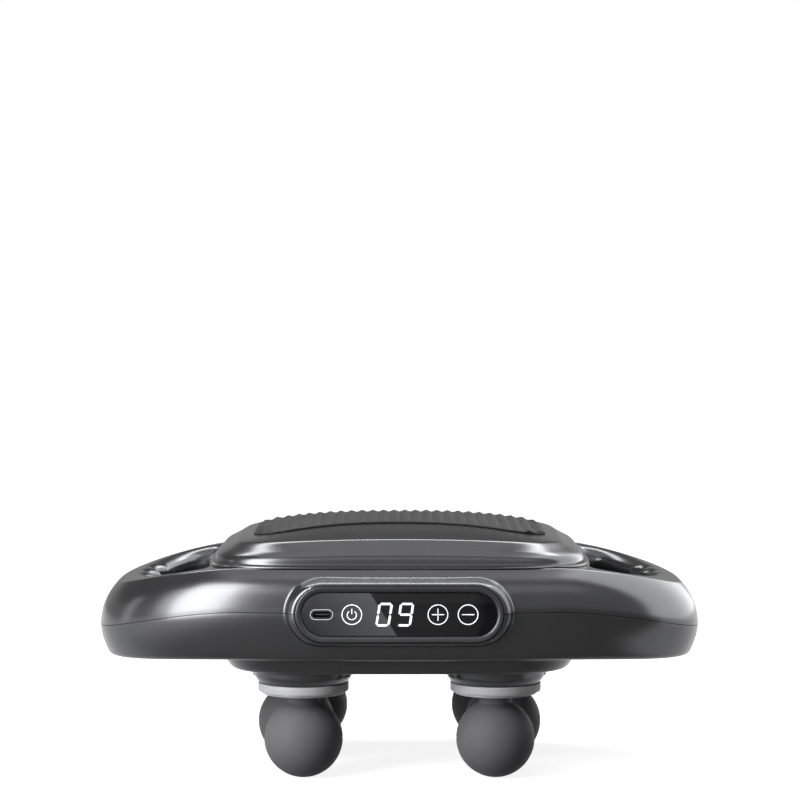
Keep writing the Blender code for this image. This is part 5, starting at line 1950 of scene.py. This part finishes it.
@dataclass
class Head:
    """Ball on its neck, and the two-tier ring that closes its socket."""

    row: str
    side: Side
    x: float
    y: float
    ball_radius: float = 18.5 * MM
    ball_rings: int = 42
    steps: int = 96
    neck_radius: float = 7.6 * MM
    stem_radius: float = 5.5 * MM
    seam: float = 0.12 * MM
    stem_grip: float = 12.0 * MM
    ring_radius: float = 21.3 * MM
    step: float = 1.8 * MM
    step_height: float = 1.2 * MM

    @property
    def place(self) -> str:
        """Row and side, as in the frame's names."""
        return f"{self.row}_{self.side.value}"

    def build(self) -> None:
        """Makes and dresses the ball and the ring."""
        self.build_ball()
        self.build_ring()

    def build_ball(self) -> None:
        """A moulded ball with a faint seam round it, a neck and a bore for the stem."""
        radius, top = self.ball_radius, 2 * self.ball_radius
        bore = self.stem_radius + FORM.gap
        profile = [(0.0, 0.0)]
        for i in range(1, self.ball_rings):
            angle = math.radians(-90 + 3.75 * i)
            out = radius - (self.seam if abs(angle) < math.radians(1) else 0.0)
            profile.append((out * math.cos(angle), radius + out * math.sin(angle)))
        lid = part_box(f"seal_ring_{self.place}")[0].z - FORM.gap
        neck, end = self.neck_radius, top - self.stem_grip - FORM.gap
        profile += [(neck + 0.15 * MM, top - 1.5 * MM), (neck, top - 1.2 * MM)]
        profile += [(neck - 0.1 * MM, top), (neck - 0.2 * MM, lid - 0.6 * MM)]
        profile += [(neck - 0.5 * MM, lid - 0.3 * MM)]
        profile += [(bore, lid - 0.3 * MM), (bore, end), (0.0, end)]
        bm = bmesh.new()
        spin_profile(bm, profile, self.steps, (self.x, self.y, 0))
        name, node = f"ball_{self.place}", f"head_ball_{self.place}"
        finish_piece(bm, name, Slot.BALL, self.side.carriage, replaces=[node], sharp=BALL_SHARP)

    def build_ring(self) -> None:
        """The light ring: a broad tier, a rounded step and a narrower tier below it."""
        low, high = (corner.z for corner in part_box(f"seal_ring_{self.place}"))
        bore = self.stem_radius + FORM.gap
        wide, narrow, mid = self.ring_radius, self.ring_radius - self.step, low + self.step_height
        profile = [(bore, high), (wide - 0.25 * MM, high), (wide, high - 0.25 * MM)]
        profile += [(wide, mid + 0.45 * MM), (wide - 0.14 * MM, mid + 0.13 * MM)]
        profile += [(wide - 0.45 * MM, mid), (narrow + 0.2 * MM, mid), (narrow, mid - 0.2 * MM)]
        profile += [(narrow, low + 0.3 * MM)]
        profile += [(narrow - 0.3 * MM, low), (bore, low)]
        bm = bmesh.new()
        spin_profile(bm, profile, self.steps, (self.x, self.y, 0), closed=True)
        finish_piece(bm, f"ring_{self.place}", Slot.SEAL, replaces=[f"seal_ring_{self.place}"])


# Studio


@dataclass(frozen=True)
class Softbox:
    """A rectangular lamp aimed at the object: its place and sides in metres, its power in watts."""

    name: str
    place: Triple
    size: Pair
    power: float
    aim: Triple = (0.0, 0.0, 0.08)

    def build(self) -> None:
        """Makes the lamp and turns it to its aim."""
        data = bpy.data.lights.new(self.name, "AREA")
        data.shape = "RECTANGLE"
        data.size, data.size_y = self.size
        data.energy = self.power
        lamp = bpy.data.objects.new(self.name, data)
        lamp.location = self.place
        way = Vector(self.aim) - Vector(self.place)
        lamp.rotation_euler = way.to_track_quat("-Z", "Y").to_euler()
        bpy.context.scene.collection.objects.link(lamp)


SOFTBOXES = (
    Softbox("key_wide", (-0.80, -0.72, 0.42), (0.90, 0.80), 5.0),
    Softbox("key_core", (-0.48, -0.46, 0.31), (0.32, 0.66), 5.6),
    Softbox("top_box", (0.0, -0.1, 1.15), (1.2, 0.8), 2.8),
    Softbox("front_box", (0.15, -1.0, 0.85), (1.5, 0.4), 1.0),
    Softbox("rear_box", (0.0, 0.57, 0.95), (1.2, 0.24), 7.5),
    Softbox("left_strip", (-1.0, 0.12, 0.22), (0.18, 0.5), 0.4),
)


@dataclass
class Studio:
    """Pale floor, dim room and the camera of the photograph.

    Each Range is a stretch of a coordinate or a ray's flag, and the two values it is mapped to.
    """

    distance: float = 1.25
    pitch: float = 7.5
    focal: float = 114.2
    sensor: float = 36.0
    aim: Vector = Vector((0.0, 0.0, 0.06))
    aim_pixel: Pair = (399.5, 636.0)
    frame_pixels: int = 800
    floor_size: float = 6.0
    paper_shade: Range = (0.0, 1.0, 0.14, 0.6)
    paper_lift: Range = (0.25, 0.9, 0.86, 1.0)
    mirrored_behind: Range = (-0.10, -0.02, 0.10, 1.0)
    mirrored_beside: Range = (-0.16, -0.10, 0.0, 1.0)
    mirrored_right: Range = (0.16, 0.20, 0.0, 1.0)
    mirrored_left: Range = (-0.30, -0.16, 1.0, 0.0)
    backdrop: Range = (0.17, 0.28, 0.4, 0.12)
    wall_behind: Range = (-0.45, -0.05, 0.5, 0.12)
    right_wall: Range = (0.25, 0.40, 0.0, 3.0)
    right_wall_end: Range = (-0.26, -0.22, 0.0, 1.0)
    room_light: Range = (0.0, 1.0, 0.06, 1.0)

    def build(self) -> None:
        """Makes the floor, room, lights and camera."""
        bpy.context.scene.view_settings.view_transform = "Standard"
        self.build_floor()
        self.build_world()
        for softbox in SOFTBOXES:
            softbox.build()
        self.build_camera()

    def build_camera(self) -> None:
        """Stands where the photographer stood and turns until the aim falls on its pixel."""
        data = bpy.data.cameras.new("photo_camera")
        data.lens, data.sensor_width = self.focal, self.sensor
        data.clip_start, data.clip_end = 0.05, 30.0
        pitch = math.radians(self.pitch)
        back = Vector((0.0, -math.cos(pitch), math.sin(pitch)))
        camera = bpy.data.objects.new("photo_camera", data)
        camera.location = self.aim + back * self.distance
        focal_pixels = self.frame_pixels * self.focal / self.sensor
        lift = math.atan((self.aim_pixel[1] - self.frame_pixels / 2) / focal_pixels)
        turn = math.atan((self.aim_pixel[0] - self.frame_pixels / 2) / focal_pixels)
        camera.rotation_euler = (math.radians(90) - pitch + lift, 0.0, turn)
        bpy.context.scene.collection.objects.link(camera)
        bpy.context.scene.camera = camera

    def build_floor(self) -> None:
        """A pale sweep that is seen from above only."""
        bm = bmesh.new()
        bmesh.ops.create_grid(bm, x_segments=1, y_segments=1, size=self.floor_size / 2)
        mesh = bpy.data.meshes.new("studio_floor")
        bm.to_mesh(mesh)
        bm.free()
        floor = bpy.data.objects.new("studio_floor", mesh)
        bpy.context.scene.collection.objects.link(floor)
        mesh.materials.append(self.floor_material())

    @staticmethod
    def mirrored(tree: Tree, rays: Mapping[str, Socket]) -> Socket:
        """A socket that is 1 for what a gloss or a glass shows."""
        return joined(tree, "MAXIMUM", rays["Is Glossy Ray"], rays["Is Transmission Ray"])

    def floor_material(self) -> bpy.types.Material:
        """White paper that keeps shadows, lifted to white where it is seen and clear from below.

        Returns:
            The new material.
        """
        made = bpy.data.materials.new("studio_paper")
        made.use_nodes = True
        tree = made.node_tree
        tree.nodes.clear()
        rays = add_node(tree, "LightPath").outputs
        place = add_node(tree, "TexCoord").outputs["Object"]
        split = add_node(tree, "SeparateXYZ", {"Vector": place}).outputs
        reach = add_node(tree, "VectorMath", {0: place})
        reach.operation = "LENGTH"
        behind = ranged(tree, split["Y"], *self.mirrored_behind)
        beside = ranged(tree, split["Y"], *self.mirrored_beside)
        right = joined(tree, "MULTIPLY", ranged(tree, split["X"], *self.mirrored_right), beside)
        left = ranged(tree, split["X"], *self.mirrored_left)
        camera = rays["Is Camera Ray"]
        kept = joined(tree, "MAXIMUM", right, left, behind, camera)
        seen = joined(tree, "MAXIMUM", self.mirrored(tree, rays), camera)
        lift = ranged(tree, reach.outputs["Value"], *self.paper_lift)
        shade = ranged(tree, camera, *self.paper_shade)
        paper = add_node(tree, "BsdfDiffuse", {"Color": shade}).outputs["BSDF"]
        strength = joined(tree, "MULTIPLY", seen, kept, lift)
        light = add_node(tree, "Emission", {"Strength": strength}).outputs["Emission"]
        both = add_node(tree, "AddShader", {0: paper, 1: light}).outputs["Shader"]
        clear = add_node(tree, "BsdfTransparent").outputs["BSDF"]
        below = add_node(tree, "NewGeometry").outputs["Backfacing"]
        mix = add_node(tree, "MixShader", {"Fac": below, 1: both, 2: clear})
        add_node(tree, "OutputMaterial", {"Surface": mix.outputs["Shader"]})
        return made

    def build_world(self) -> None:
        """A white backdrop, pale walls behind the camera and at the right, and a dim room above."""
        world = bpy.data.worlds.new("studio_room")
        world.use_nodes = True
        tree = world.node_tree
        rays = add_node(tree, "LightPath").outputs
        way = add_node(tree, "TexCoord").outputs["Generated"]
        split = add_node(tree, "SeparateXYZ", {"Vector": way}).outputs
        backdrop = ranged(tree, split["Z"], *self.backdrop)
        wall_behind = ranged(tree, split["Y"], *self.wall_behind)
        wall_end = ranged(tree, split["Y"], *self.right_wall_end)
        right_wall = joined(tree, "MULTIPLY", ranged(tree, split["X"], *self.right_wall), wall_end)
        walls = joined(tree, "MAXIMUM", backdrop, wall_behind, right_wall)
        shown = joined(tree, "MULTIPLY", walls, self.mirrored(tree, rays))
        direct = ranged(tree, rays["Is Camera Ray"], *self.room_light)
        strength = joined(tree, "MAXIMUM", shown, direct)
        feed(tree, tree.nodes["Background"], {"Color": (1.0, 1.0, 1.0, 1.0), "Strength": strength})
        bpy.context.scene.world = world


def main() -> None:
    """Dresses the frame, builds every sub-assembly and sets up the studio."""
    logging.basicConfig(level=logging.INFO, format="%(name)s %(message)s")
    FINISHES.dress_frame()
    Studio().build()
    LowerShell().build()
    UpperShell().build()
    Dome().build()
    Display().build()
    LensWindow().build()
    for screw in Screw.all():
        screw.build()
    for row, side, x, y in FORM.heads():
        Head(row, side, x, y).build()


if __name__ == "__main__":
    main()
